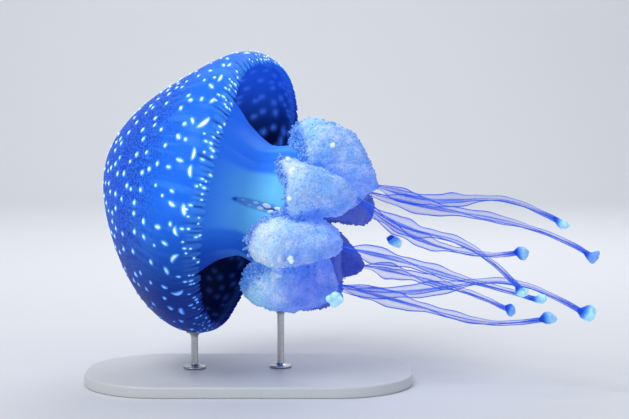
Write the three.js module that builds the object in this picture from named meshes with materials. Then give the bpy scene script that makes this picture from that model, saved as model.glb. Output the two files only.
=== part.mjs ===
import * as THREE from 'three';
import { mergeVertices } from 'three/addons/utils/BufferGeometryUtils.js';

/*
 * White-spotted jellyfish (Phyllorhiza punctata), a life-size still model on a display stand.
 * Millimetres, +Z up. The origin is the middle of the stand's underside.
 *
 * The animal is built in its own frame and then placed by one group:
 *   local Z runs from the bell's rim plane (z = 0) to the crown,
 *   local X points up out of the swimming axis, and local -Y points to the front.
 * A place on the body is given as a turn about local Z (0 = top, 90 = front, 180 = underside),
 * a radius and a height.
 */

// ---- The animal's place and lean ----
const BELL_CENTRE = new THREE.Vector3(-3, 0, 130); // centre of the rim plane
const CROWN_RISE = 13.5;                           // degrees the crown end is lifted
const CROWN_HEADING = 16.2;                        // degrees the crown end is turned to the back
const BODY_ROLL = 5;                               // degrees of roll about the swimming axis

// ---- Bell ----
const BELL_HEIGHT = 103;       // rim plane to apex
const BELL_RADIUS = 100.5;     // at the widest ring
const WIDEST_HEIGHT = 14;      // height of the widest ring
const RIM_RADIUS = 88;         // edge of the curled-in margin
const RIM_DROP = 5;            // how far the edge hangs below the rim plane
const CROWN_EDGE = 0.64;       // share of the outer arc that the solid crown takes
const LAPPET_ROOT = 0.952;     // share of the outer arc where the lappets begin
const WALL_AT_CROWN = 10;      // wall thickness beside the crown
const WALL_AT_RIM = 2.2;       // and at the edge
const BELL_FLAT = 0.045;       // how much the upper side is flatter than the lower
const BELL_QUARTERS = 4;
const OCTANTS = 8;
const LAPPETS_PER_OCTANT = 9;
const LAPPET_NOTCH = 0.7;      // depth of the notch between lappets, as a share of their length
const LAPPET_TIP = 0.46;       // width of a lappet's blunt end, as a share of its pitch
const MARGIN_START = 0.85;     // share of the outer arc below which the bell can contract

// ---- Column of oral arms ----
const DISC_TOP = 50;           // the column meets the solid crown here
const GROOVE_RADIUS = 77;      // where the column's side turns into the bell's inner wall
const DISC_SHARE = 0.42;       // share of the column's side that the undivided disc takes
const RIB_DEPTH = 0.12;        // how far the grooves between the arms cut in
const ARM_FOOT = -31;          // height of an arm's cut end, unless its frills begin lower
const ACROSS_CELLS = 5;        // cells across an arm and across its lobe

// ---- Trailing filaments and clubs ----
const FILAMENT_WIDTH = 13;     // across the wings, near the arms
const FILAMENT_END_WIDTH = 5.5;
const WING_THICKNESS = 0.9;    // blunt edge of each wing
const CLUB_LENGTH = 1.15;      // as a share of the club's width

// ---- Stand ----
const BASE_SIZE = { x: 230, y: 128, z: 8 };
const BASE_CORNER = 56;        // plan corner radius
const BASE_EDGE = 1.5;         // eased upper edge
const ROD_RADIUS = 2.5;
const ROD_CUP_RADIUS = 6;      // small cup that the flesh rests in
const ROD_FOOT_RADIUS = 8;

const GAP = 0.3;               // clearance between touching pieces
const DEG = Math.PI / 180;

// ---- Materials ----
const finishes = {
  bell: { color: 0x2a66e8, roughness: 0.35, metalness: 0 },
  margin: { color: 0x55a0ee, roughness: 0.35, metalness: 0 },
  column: { color: 0x4fa0f4, roughness: 0.35, metalness: 0 },
  frill: { color: 0x96c0fa, roughness: 0.55, metalness: 0 },
  filament: { color: 0x2a3fa8, roughness: 0.3, metalness: 0 },
  club: { color: 0x86ccfa, roughness: 0.45, metalness: 0 },
  base: { color: 0xd9dbdc, roughness: 0.5, metalness: 0 },
  rod: { color: 0xb8bbbf, roughness: 0.35, metalness: 1 },
};

const model = new THREE.Group();
const animal = new THREE.Group();
const stand = new THREE.Group();
model.add(animal, stand);

/** Places the animal: crown end back and up, then rolled about its own axis. */
function leanAnimal() {
  const level = Math.cos(CROWN_RISE * DEG);
  const crownward = new THREE.Vector3(
    -level * Math.cos(CROWN_HEADING * DEG),
    level * Math.sin(CROWN_HEADING * DEG),
    Math.sin(CROWN_RISE * DEG),
  );
  const back = crownward.clone().cross(new THREE.Vector3(0, 0, 1)).normalize();
  const up = back.clone().cross(crownward);
  animal.quaternion.setFromRotationMatrix(new THREE.Matrix4().makeBasis(up, back, crownward));
  animal.rotateZ(BODY_ROLL * DEG);
  animal.position.copy(BELL_CENTRE);
  animal.updateMatrixWorld();
}

/** Merges shared corners, drops collapsed triangles and turns the faces outward. */
function closedBody(source) {
  const bare = source.clone();
  bare.deleteAttribute('normal');
  bare.deleteAttribute('uv');
  const merged = mergeVertices(bare, 1e-3);
  const place = merged.getAttribute('position');
  const corners = [0, 1, 2].map(() => new THREE.Vector3());
  const faces = [];
  let volume = 0;
  for (let i = 0; i < merged.index.count; i += 3) {
    const face = [0, 1, 2].map((k) => merged.index.getX(i + k));
    if (new Set(face).size < 3) continue;
    face.forEach((index, k) => corners[k].fromBufferAttribute(place, index));
    volume += corners[0].dot(corners[1].clone().cross(corners[2])) / 6;
    faces.push(face);
  }
  merged.setIndex(faces.flatMap((face) => (volume > 0 ? face : [face[0], face[2], face[1]])));
  merged.computeVertexNormals();
  return merged;
}

/** Adds one named piece to a group, in a material of its own. */
function addPiece(group, name, geometry, finish) {
  const material = new THREE.MeshStandardMaterial({ name: finish, ...finishes[finish] });
  const mesh = new THREE.Mesh(closedBody(geometry), material);
  mesh.name = name;
  group.add(mesh);
}

/** Moves every vertex of a geometry to the place that a function of its old place gives. */
function reshape(geometry, move) {
  const place = geometry.getAttribute('position');
  const point = new THREE.Vector3();
  for (let i = 0; i < place.count; i += 1) {
    const moved = move(point.fromBufferAttribute(place, i));
    place.setXYZ(i, moved.x, moved.y, moved.z);
  }
  return geometry;
}

/**
 * A block of u, v, w cells, each 0 to 1, bent to the shape that a function of u, v, w gives.
 * The side at u = 0 has its squares split the other way, so that two neighbours' sides match.
 */
function bentBlock(cells, shape) {
  const block = new THREE.BoxGeometry(1, 1, 1, ...cells);
  const { start, count } = block.groups[1];
  for (let i = start; i < start + count; i += 6) {
    const [a, b, d, , c] = block.index.array.slice(i, i + 6);
    block.index.array.set([a, b, c, a, c, d], i);
  }
  return reshape(block, (p) => shape(p.x + 0.5, p.y + 0.5, p.z + 0.5));
}

/** A half section given from the top of the axis round to its foot, turned about local Z. */
function turned(section, segments) {
  return new THREE.LatheGeometry(section, segments).rotateX(Math.PI / 2);
}

/** Local point from a turn in degrees, a radius and a height. */
function polar(turn, radius, height) {
  const angle = turn * DEG;
  return new THREE.Vector3(radius * Math.cos(angle), -radius * Math.sin(angle), height);
}

function mix(from, to, share) {
  return from + (to - from) * share;
}

/** A smooth swelling of height 1 at one turn, dying out over a width in degrees. */
function swelling(turn, centre, width) {
  const away = THREE.MathUtils.euclideanModulo(turn - centre + 180, 360) - 180;
  return Math.exp(-((away / width) ** 2));
}

/**
 * Gives the round bell its living shape: the upper side is flatter, and the margin rolls in and
 * out as the bell swims.
 */
function settle(point) {
  const radius = Math.hypot(point.x, point.y);
  const turn = Math.atan2(-point.y, point.x) / DEG;
  const climb = THREE.MathUtils.clamp((point.z - 10) / (BELL_HEIGHT - 10), 0, 1);
  const flatter = 1 - BELL_FLAT * Math.cos(turn * DEG) * Math.sin(Math.PI * climb);
  const nearRim = THREE.MathUtils.clamp((60 - point.z) / 60, 0, 1) ** 1.5
    * THREE.MathUtils.smoothstep(radius, 45, 80);
  const wave = 1.5 + 2.5 * Math.cos(2 * (turn - 40) * DEG)
    + 7 * swelling(turn, 22, 22) - 4.5 * swelling(turn, 180, 28);
  return polar(turn, radius * flatter, point.z + nearRim * wave);
}

// The outer half section: a tall arc from the apex to the widest ring, then a tight inward curl.
const outerArc = new THREE.CurvePath();
outerArc.add(new THREE.CubicBezierCurve(
  new THREE.Vector2(0, BELL_HEIGHT),
  new THREE.Vector2(42, BELL_HEIGHT),
  new THREE.Vector2(BELL_RADIUS, WIDEST_HEIGHT + 26),
  new THREE.Vector2(BELL_RADIUS, WIDEST_HEIGHT),
));
outerArc.add(new THREE.CubicBezierCurve(
  new THREE.Vector2(BELL_RADIUS, WIDEST_HEIGHT),
  new THREE.Vector2(BELL_RADIUS, WIDEST_HEIGHT - 10),
  new THREE.Vector2(RIM_RADIUS + 7.5, 3 - RIM_DROP),
  new THREE.Vector2(RIM_RADIUS, -RIM_DROP),
));

/** Point of the half section at a share of the outer arc, some way in from the outer face. */
function inWall(share, depth) {
  const point = outerArc.getPoint(share);
  const along = outerArc.getTangent(share);
  return new THREE.Vector2(point.x + along.y * depth, point.y - along.x * depth);
}

/** The margin is drawn up as the bell contracts: most at the top, a little underneath. */
function drawnUp(share, turn) {
  const pull = 0.3 * swelling(turn, -5, 50) + 0.1 * swelling(turn, 215, 45);
  return share - Math.max(0, share - MARGIN_START) * pull;
}

function wallThickness(share) {
  return mix(WALL_AT_CROWN, WALL_AT_RIM, (share - CROWN_EDGE) / (1 - CROWN_EDGE));
}

// The column's side, from the bell's inner groove down through the waist to the frills.
const columnSide = new THREE.SplineCurve([
  new THREE.Vector2(GROOVE_RADIUS - 1, DISC_TOP),
  new THREE.Vector2(66, 29),
  new THREE.Vector2(51, 12),
  new THREE.Vector2(41.5, -6),
  new THREE.Vector2(42, -17),
  new THREE.Vector2(47, -31),
]);

function addBell() {
  const crown = [];
  const steps = 7;
  for (let i = 0; i <= steps; i += 1) crown.push(inWall(CROWN_EDGE * (i / steps), 0));
  crown.push(inWall(CROWN_EDGE, WALL_AT_CROWN));
  crown.push(new THREE.Vector2(GROOVE_RADIUS, DISC_TOP + GAP));
  crown.push(new THREE.Vector2(0, DISC_TOP + GAP));
  crown[0].x = 0;
  addPiece(animal, 'bell_crown', reshape(turned(crown, 40), settle), 'bell');

  const top = CROWN_EDGE + 0.002;
  const foot = LAPPET_ROOT - 0.0035;
  for (let k = 0; k < BELL_QUARTERS; k += 1) {
    const wall = bentBlock([14, 3, 1], (u, v, w) => {
      const middle = 45 + 90 * k;
      const share = drawnUp(mix(top, foot, v), middle + 90 * (u - 0.5));
      const place = inWall(share, wallThickness(share) * w);
      const half = 180 / BELL_QUARTERS - GAP / 2 / place.x / DEG;
      return settle(polar(middle + mix(-half, half, u), place.x, place.y));
    });
    addPiece(animal, `bell_wall_${k + 1}`, wall, 'bell');
  }
}

/** One octant of the margin: a comb of blunt tongues with a notch between each two. */
function addLappets(k) {
  const corners = 3; // each tongue: a notch, then the two corners of its blunt end
  const comb = bentBlock([corners * LAPPETS_PER_OCTANT, 1, 1], (u, v, w) => {
    const step = Math.round(u * corners * LAPPETS_PER_OCTANT);
    const corner = step % corners;
    const reach = corner === 0 ? 1 - LAPPET_NOTCH : 1;
    const within = [0, (1 - LAPPET_TIP) / 2, (1 + LAPPET_TIP) / 2][corner];
    const across = (Math.floor(step / corners) + within) / LAPPETS_PER_OCTANT;
    const share = drawnUp(mix(LAPPET_ROOT, 1, v * reach), octantTurn(k) + 45 * (across - 0.5));
    const place = inWall(share, wallThickness(share) * w);
    const half = 180 / OCTANTS - GAP / 2 / place.x / DEG;
    return settle(polar(octantTurn(k) + mix(-half, half, across), place.x, place.y));
  });
  addPiece(animal, `lappets_${k + 1}`, comb, 'margin');
}

function octantTurn(k) {
  return (k + 0.5) * (360 / OCTANTS);
}

/** The undivided top of the column, hanging from the crown like a thick funnel. */
function addOralDisc() {
  const section = [new THREE.Vector2(0, DISC_TOP)];
  const steps = 4;
  for (let i = 0; i <= steps; i += 1) section.push(columnSide.getPoint(DISC_SHARE * (i / steps)));
  section.push(new THREE.Vector2(0, section.at(-1).y));
  addPiece(animal, 'oral_disc', reshape(turned(section, 32), settle), 'column');
}

// Each arm ends in a lobe of frills. `top` lists the heights where the frills begin, at equal steps
// from one side of the arm to the other. The lobe is widest at `reach` and narrows to a tip where
// its filament begins; `tip` is a turn in degrees, a radius and a height. A filament ends at `end`,
// measured from the bell's centre, with `lift` and `sway` for its bends. `club` is its club's width.
const lobes = [
  {
    reach: 70, top: [-26, -26, -30, -41, -46], tip: [15, 32, -95],
    end: [209, -55, -10], lift: 3, sway: -4, club: 9,
  },
  {
    reach: 67, top: [-33, -31, -41, -45, -48], tip: [56, 36, -88],
    end: [180, -92, -51], lift: 5.5, sway: -5, club: 8.5,
  },
  {
    reach: 68, top: [-42, -31, -25, -28, -41], tip: [105, 44, -89],
    end: [191, -75, -60], lift: 0.5, sway: 0.5, club: 9.5,
  },
  {
    reach: 72.5, top: [-40, -28, -20, -19, -20], tip: [152, 43, -87],
    end: [226, -58, -71], lift: 10, sway: -6, club: 12,
  },
  {
    reach: 73.5, top: [-20, -20, -23, -27, -36], tip: [190, 43, -84],
    end: [204, -32, -82], lift: -7, sway: 2, club: 10,
  },
  {
    reach: 69, top: [-36, -27, -24, -32, -43], tip: [219, 32, -93],
    end: [182, -15, -76], lift: 3, sway: 0, club: 7.5,
  },
  {
    reach: 66, top: [-43, -33, -27, -30, -38], tip: [281, 46, -84],
    end: [190, -2, -39], lift: -10, sway: 0, club: 9.5,
  },
  {
    reach: 70, top: [-38, -30, -27, -26, -26], tip: [330, 29, -86],
    end: [235, -23, -36], lift: 5, sway: -2.5, club: 9,
  },
];

/** Height where a lobe's frills begin, from one side of its arm (across = -1) to the other (1). */
function frillTop(k, across) {
  const { top } = lobes[k];
  const place = (across + 1) / 2 * (top.length - 1);
  const i = Math.min(Math.floor(place), top.length - 2);
  return mix(top[i], top[i + 1], place - i);
}

/** How far an arm's foot reaches below ARM_FOOT, to meet frills that begin lower. */
function footDip(k, across) {
  return Math.max(0, ARM_FOOT - frillTop(k, across) - 1);
}

/** One of the eight arms below the disc: a rib of the column, pinched in at its two sides. */
function addArm(k) {
  const arm = bentBlock([ACROSS_CELLS, 4, 1], (u, v, w) => {
    const across = 2 * u - 1;
    const side = columnSide.getPoint(mix(DISC_SHARE + 0.008, 1, v));
    const rib = 1 - RIB_DEPTH * Math.abs(across) ** 3;
    const radius = mix(1.2, side.x * rib, w);
    const half = 180 / OCTANTS - GAP / 2 / radius / DEG;
    const height = side.y - footDip(k, across) * w * v ** 4;
    return settle(polar(octantTurn(k) + mix(-half, half, u), radius, height));
  });
  addPiece(animal, `arm_${k + 1}`, arm, 'column');
}

/** One frilled lobe, hung on the end of its arm and filling most of its octant. */
function addFrill(k) {
  const { reach, tip: [tipTurn, tipRadius, tipHeight] } = lobes[k];
  const rows = 6;
  const frill = bentBlock([ACROSS_CELLS, rows, 1], (u, v, w) => {
    const across = 2 * u - 1;
    const top = frillTop(k, across);
    const dip = footDip(k, across);
    const rim = Math.min(top - 0.6, Math.max(top - 1.5, ARM_FOOT + 1));
    const outside = new THREE.SplineCurve([
      new THREE.Vector2(50, top),
      new THREE.Vector2(reach - 5, mix(top, -62, 0.09)),
      new THREE.Vector2(reach, mix(top, -62, 0.48)),
      new THREE.Vector2(reach - 4, -62),
      new THREE.Vector2(mix(reach - 4, tipRadius, 0.42), -78.5),
      new THREE.Vector2(tipRadius + 4, tipHeight),
    ]);
    const inside = [
      new THREE.Vector2(47.5, rim),
      new THREE.Vector2(49, Math.min(ARM_FOOT - dip - 0.8, rim - 0.8)),
      new THREE.Vector2(25, ARM_FOOT - 1 - 0.7 * dip),
      new THREE.Vector2(4, ARM_FOOT - 3 - 0.2 * dip),
      new THREE.Vector2(4, -58),
      new THREE.Vector2(mix(4, tipRadius, 0.4), -74),
      new THREE.Vector2(tipRadius - 4, tipHeight + 4),
    ];
    const near = inside[Math.round(v * rows)];
    const far = outside.getPoint(v);
    const lump = 2.2 * Math.sin(7 * u + 5 * k) * Math.sin(9 * v + 2 * k) * Math.sin(Math.PI * v);
    const pinch = 0.25 + 0.55 * (1 - v) ** 2;
    const share = w * (1 - pinch * Math.abs(across) ** 3);
    const radius = mix(near.x, far.x + lump, share);
    const height = mix(near.y, far.y, share);
    const gathered = THREE.MathUtils.smoothstep(v, 0.4, 1);
    const half = (180 / OCTANTS - GAP / 2 / radius / DEG) * (1 - 0.56 * gathered);
    const middle = mix(octantTurn(k), tipTurn, gathered);
    return polar(middle + across * half, radius, height);
  });
  addPiece(animal, `frill_${k + 1}`, frill, 'frill');
}

/** A route with its start, its end, a lift in the middle and an S-shaped sway, both along Z. */
class TrailingCurve extends THREE.Curve {
  constructor(start, end, lift, sway) {
    super();
    Object.assign(this, { start, end, lift, sway });
  }

  getPoint(t, target = new THREE.Vector3()) {
    target.lerpVectors(this.start, this.end, t);
    target.z += this.lift * 4 * t * (1 - t) + this.sway * Math.sin(2 * Math.PI * t);
    return target;
  }
}

/** Point beside a route, at an angle and a distance in the plane across it. */
function beside(route, t, angle, distance) {
  const along = route.getTangent(t);
  const side = new THREE.Vector3(0, 1, 0).cross(along).normalize();
  const other = along.clone().cross(side);
  return route.getPoint(t)
    .addScaledVector(side, distance * Math.cos(angle))
    .addScaledVector(other, distance * Math.sin(angle));
}

const WING_COUNT = 3;

/** A stretch of filament: three thin wings round a core, narrowing along its route. */
function filamentStretch(route, from, to, width) {
  const stretch = new THREE.CylinderGeometry(1, 1, 1, 3 * WING_COUNT, 5);
  return reshape(stretch, (p) => {
    const t = mix(from, to, p.y + 0.5);
    const spread = THREE.MathUtils.smoothstep(t, 0, 0.12);
    const span = mix(width * 0.55, mix(width, FILAMENT_END_WIDTH, t), spread) / 2;
    const corner = Math.round(Math.atan2(p.x, p.z) / DEG / 40 + 9) % 9;
    const wing = Math.floor(corner / 3) * 120 * DEG + t * 1.5;
    const flat = Math.asin(WING_THICKNESS / 2 / span);
    const [offset, reach] = [[-60 * DEG, 0.24], [-flat, 1], [flat, 1]][corner % 3];
    return beside(route, t, wing + offset, Math.hypot(p.x, p.z) * reach * span);
  });
}

/** A club: a three-cornered bulb that swells from a stem to a blunt cap. */
function clubBody(root, along, width) {
  const tip = root.clone().addScaledVector(along, CLUB_LENGTH * width);
  const route = new THREE.LineCurve3(root, tip);
  const swell = new THREE.SplineCurve([
    new THREE.Vector2(0, 0.45),
    new THREE.Vector2(0.3, 0.5),
    new THREE.Vector2(0.65, 0.95),
    new THREE.Vector2(0.9, 0.85),
    new THREE.Vector2(1, 0.45),
  ]);
  const bulb = new THREE.CylinderGeometry(1, 1, 1, 9, 5);
  return reshape(bulb, (p) => {
    const t = p.y + 0.5;
    const angle = Math.atan2(p.x, p.z);
    const corners = 1 + 0.16 * Math.cos(3 * angle) * t;
    return beside(route, t, angle, Math.hypot(p.x, p.z) * swell.getPoint(t).y * corners * width / 2);
  });
}

/** The long filament of one arm, in an upper and a lower stretch, with its club. */
function addFilament(k) {
  const { tip, end, lift, sway, club } = lobes[k];
  const start = animal.localToWorld(polar(...tip));
  const finish = new THREE.Vector3(...end).add(BELL_CENTRE);
  start.addScaledVector(finish.clone().sub(start).normalize(), 4);
  const route = new TrailingCurve(start, finish, lift, sway);
  const halfGap = GAP / 2 / route.getLength();
  const width = FILAMENT_WIDTH;
  const upper = filamentStretch(route, 0, 0.5 - halfGap, width);
  const lower = filamentStretch(route, 0.5 + halfGap, 1, width);
  addPiece(model, `filament_${k + 1}_upper`, upper, 'filament');
  addPiece(model, `filament_${k + 1}_lower`, lower, 'filament');

  const along = route.getTangent(1);
  const root = finish.clone().addScaledVector(along, GAP);
  addPiece(model, `club_${k + 1}`, clubBody(root, along, club), 'club');
}

/** A short filament that ends in its own club, close to the frills. */
function addShortFilament(name, start, end, stem, clubWidth) {
  const from = new THREE.Vector3(...start).add(BELL_CENTRE);
  const to = new THREE.Vector3(...end).add(BELL_CENTRE);
  const along = to.clone().sub(from);
  const length = along.length();
  along.normalize();
  const route = new THREE.LineCurve3(from, to);
  const body = new THREE.CylinderGeometry(1, 1, 1, 9, 7);
  const bulbStart = 1 - clubWidth * 1.05 / length;
  reshape(body, (p) => {
    const t = p.y + 0.5;
    const swell = Math.sqrt(Math.max(0, Math.sin(Math.PI * (t - bulbStart) / (1 - bulbStart))));
    const radius = t < bulbStart ? stem / 2 : Math.max(stem / 2, swell * clubWidth / 2);
    return beside(route, t, Math.atan2(p.x, p.z), Math.hypot(p.x, p.z) * radius);
  });
  addPiece(model, name, body, 'club');
}

/** A thin plate with round ends and an eased upper edge. */
function addBase() {
  const { x, y, z } = BASE_SIZE;
  const outline = new THREE.Shape();
  const [halfX, halfY, r] = [x / 2 - BASE_EDGE, y / 2 - BASE_EDGE, BASE_CORNER - BASE_EDGE];
  outline.moveTo(halfX - r, -halfY);
  outline.absarc(halfX - r, -halfY + r, r, -Math.PI / 2, 0);
  outline.absarc(halfX - r, halfY - r, r, 0, Math.PI / 2);
  outline.absarc(-halfX + r, halfY - r, r, Math.PI / 2, Math.PI);
  outline.absarc(-halfX + r, -halfY + r, r, Math.PI, 1.5 * Math.PI);
  outline.closePath();
  const plate = new THREE.ExtrudeGeometry(outline, {
    depth: z - 2 * BASE_EDGE,
    bevelThickness: BASE_EDGE,
    bevelSize: BASE_EDGE,
    bevelSegments: 1,
    curveSegments: 8,
  });
  addPiece(stand, 'stand_base', plate.translate(0, 0, BASE_EDGE), 'base');
}

/** A round rod with a foot on the base and a small cup under the flesh. */
function addRod(name, x, y, top) {
  const foot = BASE_SIZE.z + GAP;
  const section = [
    new THREE.Vector2(0, foot),
    new THREE.Vector2(ROD_FOOT_RADIUS, foot),
    new THREE.Vector2(ROD_FOOT_RADIUS, foot + 1.6),
    new THREE.Vector2(ROD_RADIUS, foot + 3.5),
    new THREE.Vector2(ROD_RADIUS, top - 5),
    new THREE.Vector2(ROD_CUP_RADIUS, top - 1.2),
    new THREE.Vector2(ROD_CUP_RADIUS, top),
    new THREE.Vector2(0, top - 0.8),
  ];
  addPiece(stand, name, turned(section, 20).translate(x, y, 0), 'rod');
}

leanAnimal();
addBell();
addOralDisc();
for (let k = 0; k < OCTANTS; k += 1) {
  addLappets(k);
  addArm(k);
  addFrill(k);
  addFilament(k);
}
addShortFilament('short_filament_far', [97, 16, -20], [109, 17, -38], 3, 9);
addShortFilament('short_filament_near', [66, -58, -61], [61, -74, -61], 5, 11);
addBase();
addRod('stand_rod_bell', -39, 5, 34.6);
addRod('stand_rod_arms', 22, 9, 49.8);

export default model;
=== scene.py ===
"""White-spotted jellyfish on a display stand.

The bell and the arm column are one skin. Pale spots, frilled lobes, trailing filaments, clubs and
the stand are pieces of their own. Lengths are in millimetres until a mesh is made.
"""
import math

import bpy
import numpy as np
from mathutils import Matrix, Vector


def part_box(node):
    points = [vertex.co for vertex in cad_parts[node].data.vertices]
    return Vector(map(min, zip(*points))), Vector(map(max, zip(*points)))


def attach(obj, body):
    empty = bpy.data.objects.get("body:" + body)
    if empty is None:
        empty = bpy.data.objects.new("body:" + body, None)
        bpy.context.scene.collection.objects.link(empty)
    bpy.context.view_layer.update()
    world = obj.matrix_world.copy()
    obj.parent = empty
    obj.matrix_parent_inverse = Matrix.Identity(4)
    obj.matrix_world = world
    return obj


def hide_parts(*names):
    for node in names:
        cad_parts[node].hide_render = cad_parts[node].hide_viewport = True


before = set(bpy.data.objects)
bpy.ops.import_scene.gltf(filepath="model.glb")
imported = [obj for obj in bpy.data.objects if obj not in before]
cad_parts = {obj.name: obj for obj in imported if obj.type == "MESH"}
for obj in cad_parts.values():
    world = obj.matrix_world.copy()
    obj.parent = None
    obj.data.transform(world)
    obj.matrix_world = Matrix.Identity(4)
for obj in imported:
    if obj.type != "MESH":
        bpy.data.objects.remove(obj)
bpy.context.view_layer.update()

MM = 0.001
TURN = 2 * math.pi
RANDOM = np.random.default_rng(11)

# ---- the animal's place and lean, as in the solids ----
BELL_CENTRE = np.array([-3.0, 0.0, 130.0])
CROWN_RISE, CROWN_HEADING, BODY_ROLL = np.radians([13.5, 16.2, 5.0])

# ---- bell ----
BELL_HEIGHT = 103.0
BELL_RADIUS = 100.5
WIDEST_HEIGHT = 14.0
RIM_RADIUS = 88.0
RIM_DROP = 5.0
CROWN_EDGE = 0.64       # share of the outer arc where the inner hollow begins
LAPPET_ROOT = 0.952     # share of the outer arc where the lappets begin
WALL_AT_CROWN = 10.0
WALL_AT_RIM = 2.2
BELL_FLAT = 0.045       # how much less the upper side stands out than the underside
LAPPETS = 72
LAPPET_NOTCH = 0.7      # how deep the cuts are, as a share of a lappet's length
MARGIN_START = 0.85     # share of the outer arc below which the bell can contract

# ---- arm column ----
ARMS = 8
COLUMN_SIDE = [(76, 50), (66, 29), (51, 12), (41.5, -6), (42, -17), (47, -31)]
COLUMN_HEM = [(47, -31), (46, -42), (43, -50), (22, -56), (0.01, -57)]  # hidden in the frills
GROOVE_FLOOR = np.array([78.5, 52.5])
SLIT_HEAD = -4.0        # height where the slit between two ribs begins
SLIT_FOOT = -49.0
SLIT_HALF_WIDTH = 4.1
SLIT_BEADS = 9

# ---- markings: dots of the crown, then rings of marks round the bell, given as share of the outer
# arc and its spread, count, half length, half width, lean and bend, and last the rows of dashes
# on the lappets, given as share of the outer arc and the chance of a dash on each finger ----
CROWN_DOTS = 260
CROWN_DOT_GAP = 6.2
CROWN_DOTS_END = 0.70
MARK_RINGS = [
    (0.735, 0.020, 32, 1.7, 1.15, 0.6, 0.0),
    (0.79, 0.020, 36, 2.0, 1.1, 0.6, 0.04),
    (0.845, 0.016, 44, 2.5, 1.1, 0.9, 0.06),
    (0.888, 0.012, 31, 4.6, 1.25, -0.25, 0.12),
]
DASH_ROWS = [(0.906, 0.2), (0.926, 0.3), (0.946, 0.4), (0.965, 0.35), (0.980, 0.2)]

# ---- frilled lobes and their filaments, one per arm, as in the solids: `top` lists the heights
# where the frills begin, at equal steps from one side of the arm to the other, `droop` is how many
# degrees a soft end hangs round from its solid, and `hollow` draws its inner side back ----
LOBES = [
    dict(reach=70, top=(-26, -26, -30, -41, -46), tip=(15, 32, -95), end=(209, -55, -10), lift=3, sway=-4),
    dict(reach=67, top=(-33, -31, -41, -45, -48), tip=(56, 36, -88), end=(180, -92, -51), lift=5.5, sway=-5),
    dict(reach=68, top=(-42, -31, -25, -28, -41), tip=(105, 44, -89), end=(191, -75, -60), lift=.5, sway=.5),
    dict(reach=72.5, top=(-40, -28, -20, -19, -20), tip=(152, 43, -87), end=(226, -58, -71), lift=10, sway=-6,
         droop=11, hollow=14),
    dict(reach=73.5, top=(-20, -20, -23, -27, -36), tip=(190, 43, -84), end=(204, -32, -82), lift=-7, sway=2),
    dict(reach=69, top=(-36, -27, -24, -32, -43), tip=(219, 32, -93), end=(182, -15, -76), lift=3, sway=0),
    dict(reach=66, top=(-43, -33, -27, -30, -38), tip=(281, 46, -84), end=(190, -2, -39), lift=-10, sway=0),
    dict(reach=70, top=(-38, -30, -27, -26, -26), tip=(330, 29, -86), end=(235, -23, -36), lift=5, sway=-2.5),
]
FRILL_GRAINS = 900
FRILL_TUFTS = 185
TUFT_KNOBS = 4
# painted shade on each lobe's inner side, dullest on the far lobes
INNER_SHADE_BY_LOBE = (0.0, 0.0, 0.0, 0.0, 0.75, 0.88, 0.85, 0.2)  # how dull each lobe is on its inner side
FILAMENT_WIDTH = 12.0
FILAMENT_END_WIDTH = 4.0

# ---- clubs: `swell` is the radius from stem to cap as a share of half the width, `flat` squeezes
# one way across, and lobes are `count` bulges round it, `deep` as a share of the radius. `shade`
# darkens a club, `clear` is the share of its length that is clear stem, `knob` the grain in mm ----
CLUBS = [
    dict(swell=(0.3, 0.6, 1, 1.15, 1.1, 0.8), width=10, long=1.1, flat=0.46, count=2, deep=0.1, shade=0),
    dict(swell=(0.3, 0.5, 0.9, 1.1, 1.05, 0.8), width=8.5, long=0.9, flat=0.7, count=3, deep=0.26, shade=0),
    dict(swell=(0.3, 0.4, 0.7, 1, 1.2, 1.1), width=9, long=1.15, flat=0.6, count=2, deep=0.2, shade=0.05),
    dict(swell=(0.3, 0.6, 1, 1.05, 1, 0.8), width=12, long=0.95, flat=0.8, count=2, deep=0.12, shade=0),
    dict(swell=(.3, .6, .95, 1, .85, .55), width=9.8, long=1.15, flat=0.85, count=1, deep=0.1, shade=0.25),
    dict(swell=(0.25, 0.6, 0.95, 1, 0.9, 0.6), width=7.8, long=0.95, flat=1, count=3, deep=0.04, shade=0.55),
    dict(swell=(.25, .6, .95, 1, .9, .6), width=10, long=0.95, flat=0.95, count=3, deep=0.05, shade=0.35),
    dict(swell=(0.2, 0.35, 0.6, 0.8, 1, 1), width=8.5, long=1.2, flat=0.9, count=3, deep=0.24, shade=0.6),
]
SHORT_CLUBS = {
    "short_filament_far": dict(
        start=(97, 16, -20), end=(109, 17, -38), swell=(0.6, 0.8, 1, 1, 0.9, 0.6), width=9, long=1.1,
        flat=0.85, count=2, deep=0.18, shade=0, clear=0.12),
    "short_filament_near": dict(
        start=(66, -58, -61), end=(61, -74, -61), swell=(0.7, 0.9, 1, 1, 0.95, 0.75), width=10, long=1,
        flat=0.9, count=4, deep=0.15, shade=0, knob=4.4),
}

# ---- wet jelly ----
JELLY_IOR = 1.36
FILM_GLOSS = 0.18


# ================================================================ curves and fields

def smoothstep(value, low, high):
    """0 below low, 1 above high, and a smooth S between them."""
    t = np.clip((value - low) / (high - low), 0, 1)
    return t * t * (3 - 2 * t)


def mix(start, end, share):
    """The start plus a share of the way to the end."""
    return start + (end - start) * share


def bezier(points, t):
    """Cubic Bezier curve through the first and last of four points."""
    a, b, c, d = np.array(points, float)
    t = t[:, None]
    return (1 - t) ** 3 * a + 3 * (1 - t) ** 2 * t * b + 3 * (1 - t) * t ** 2 * c + t ** 3 * d


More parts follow.
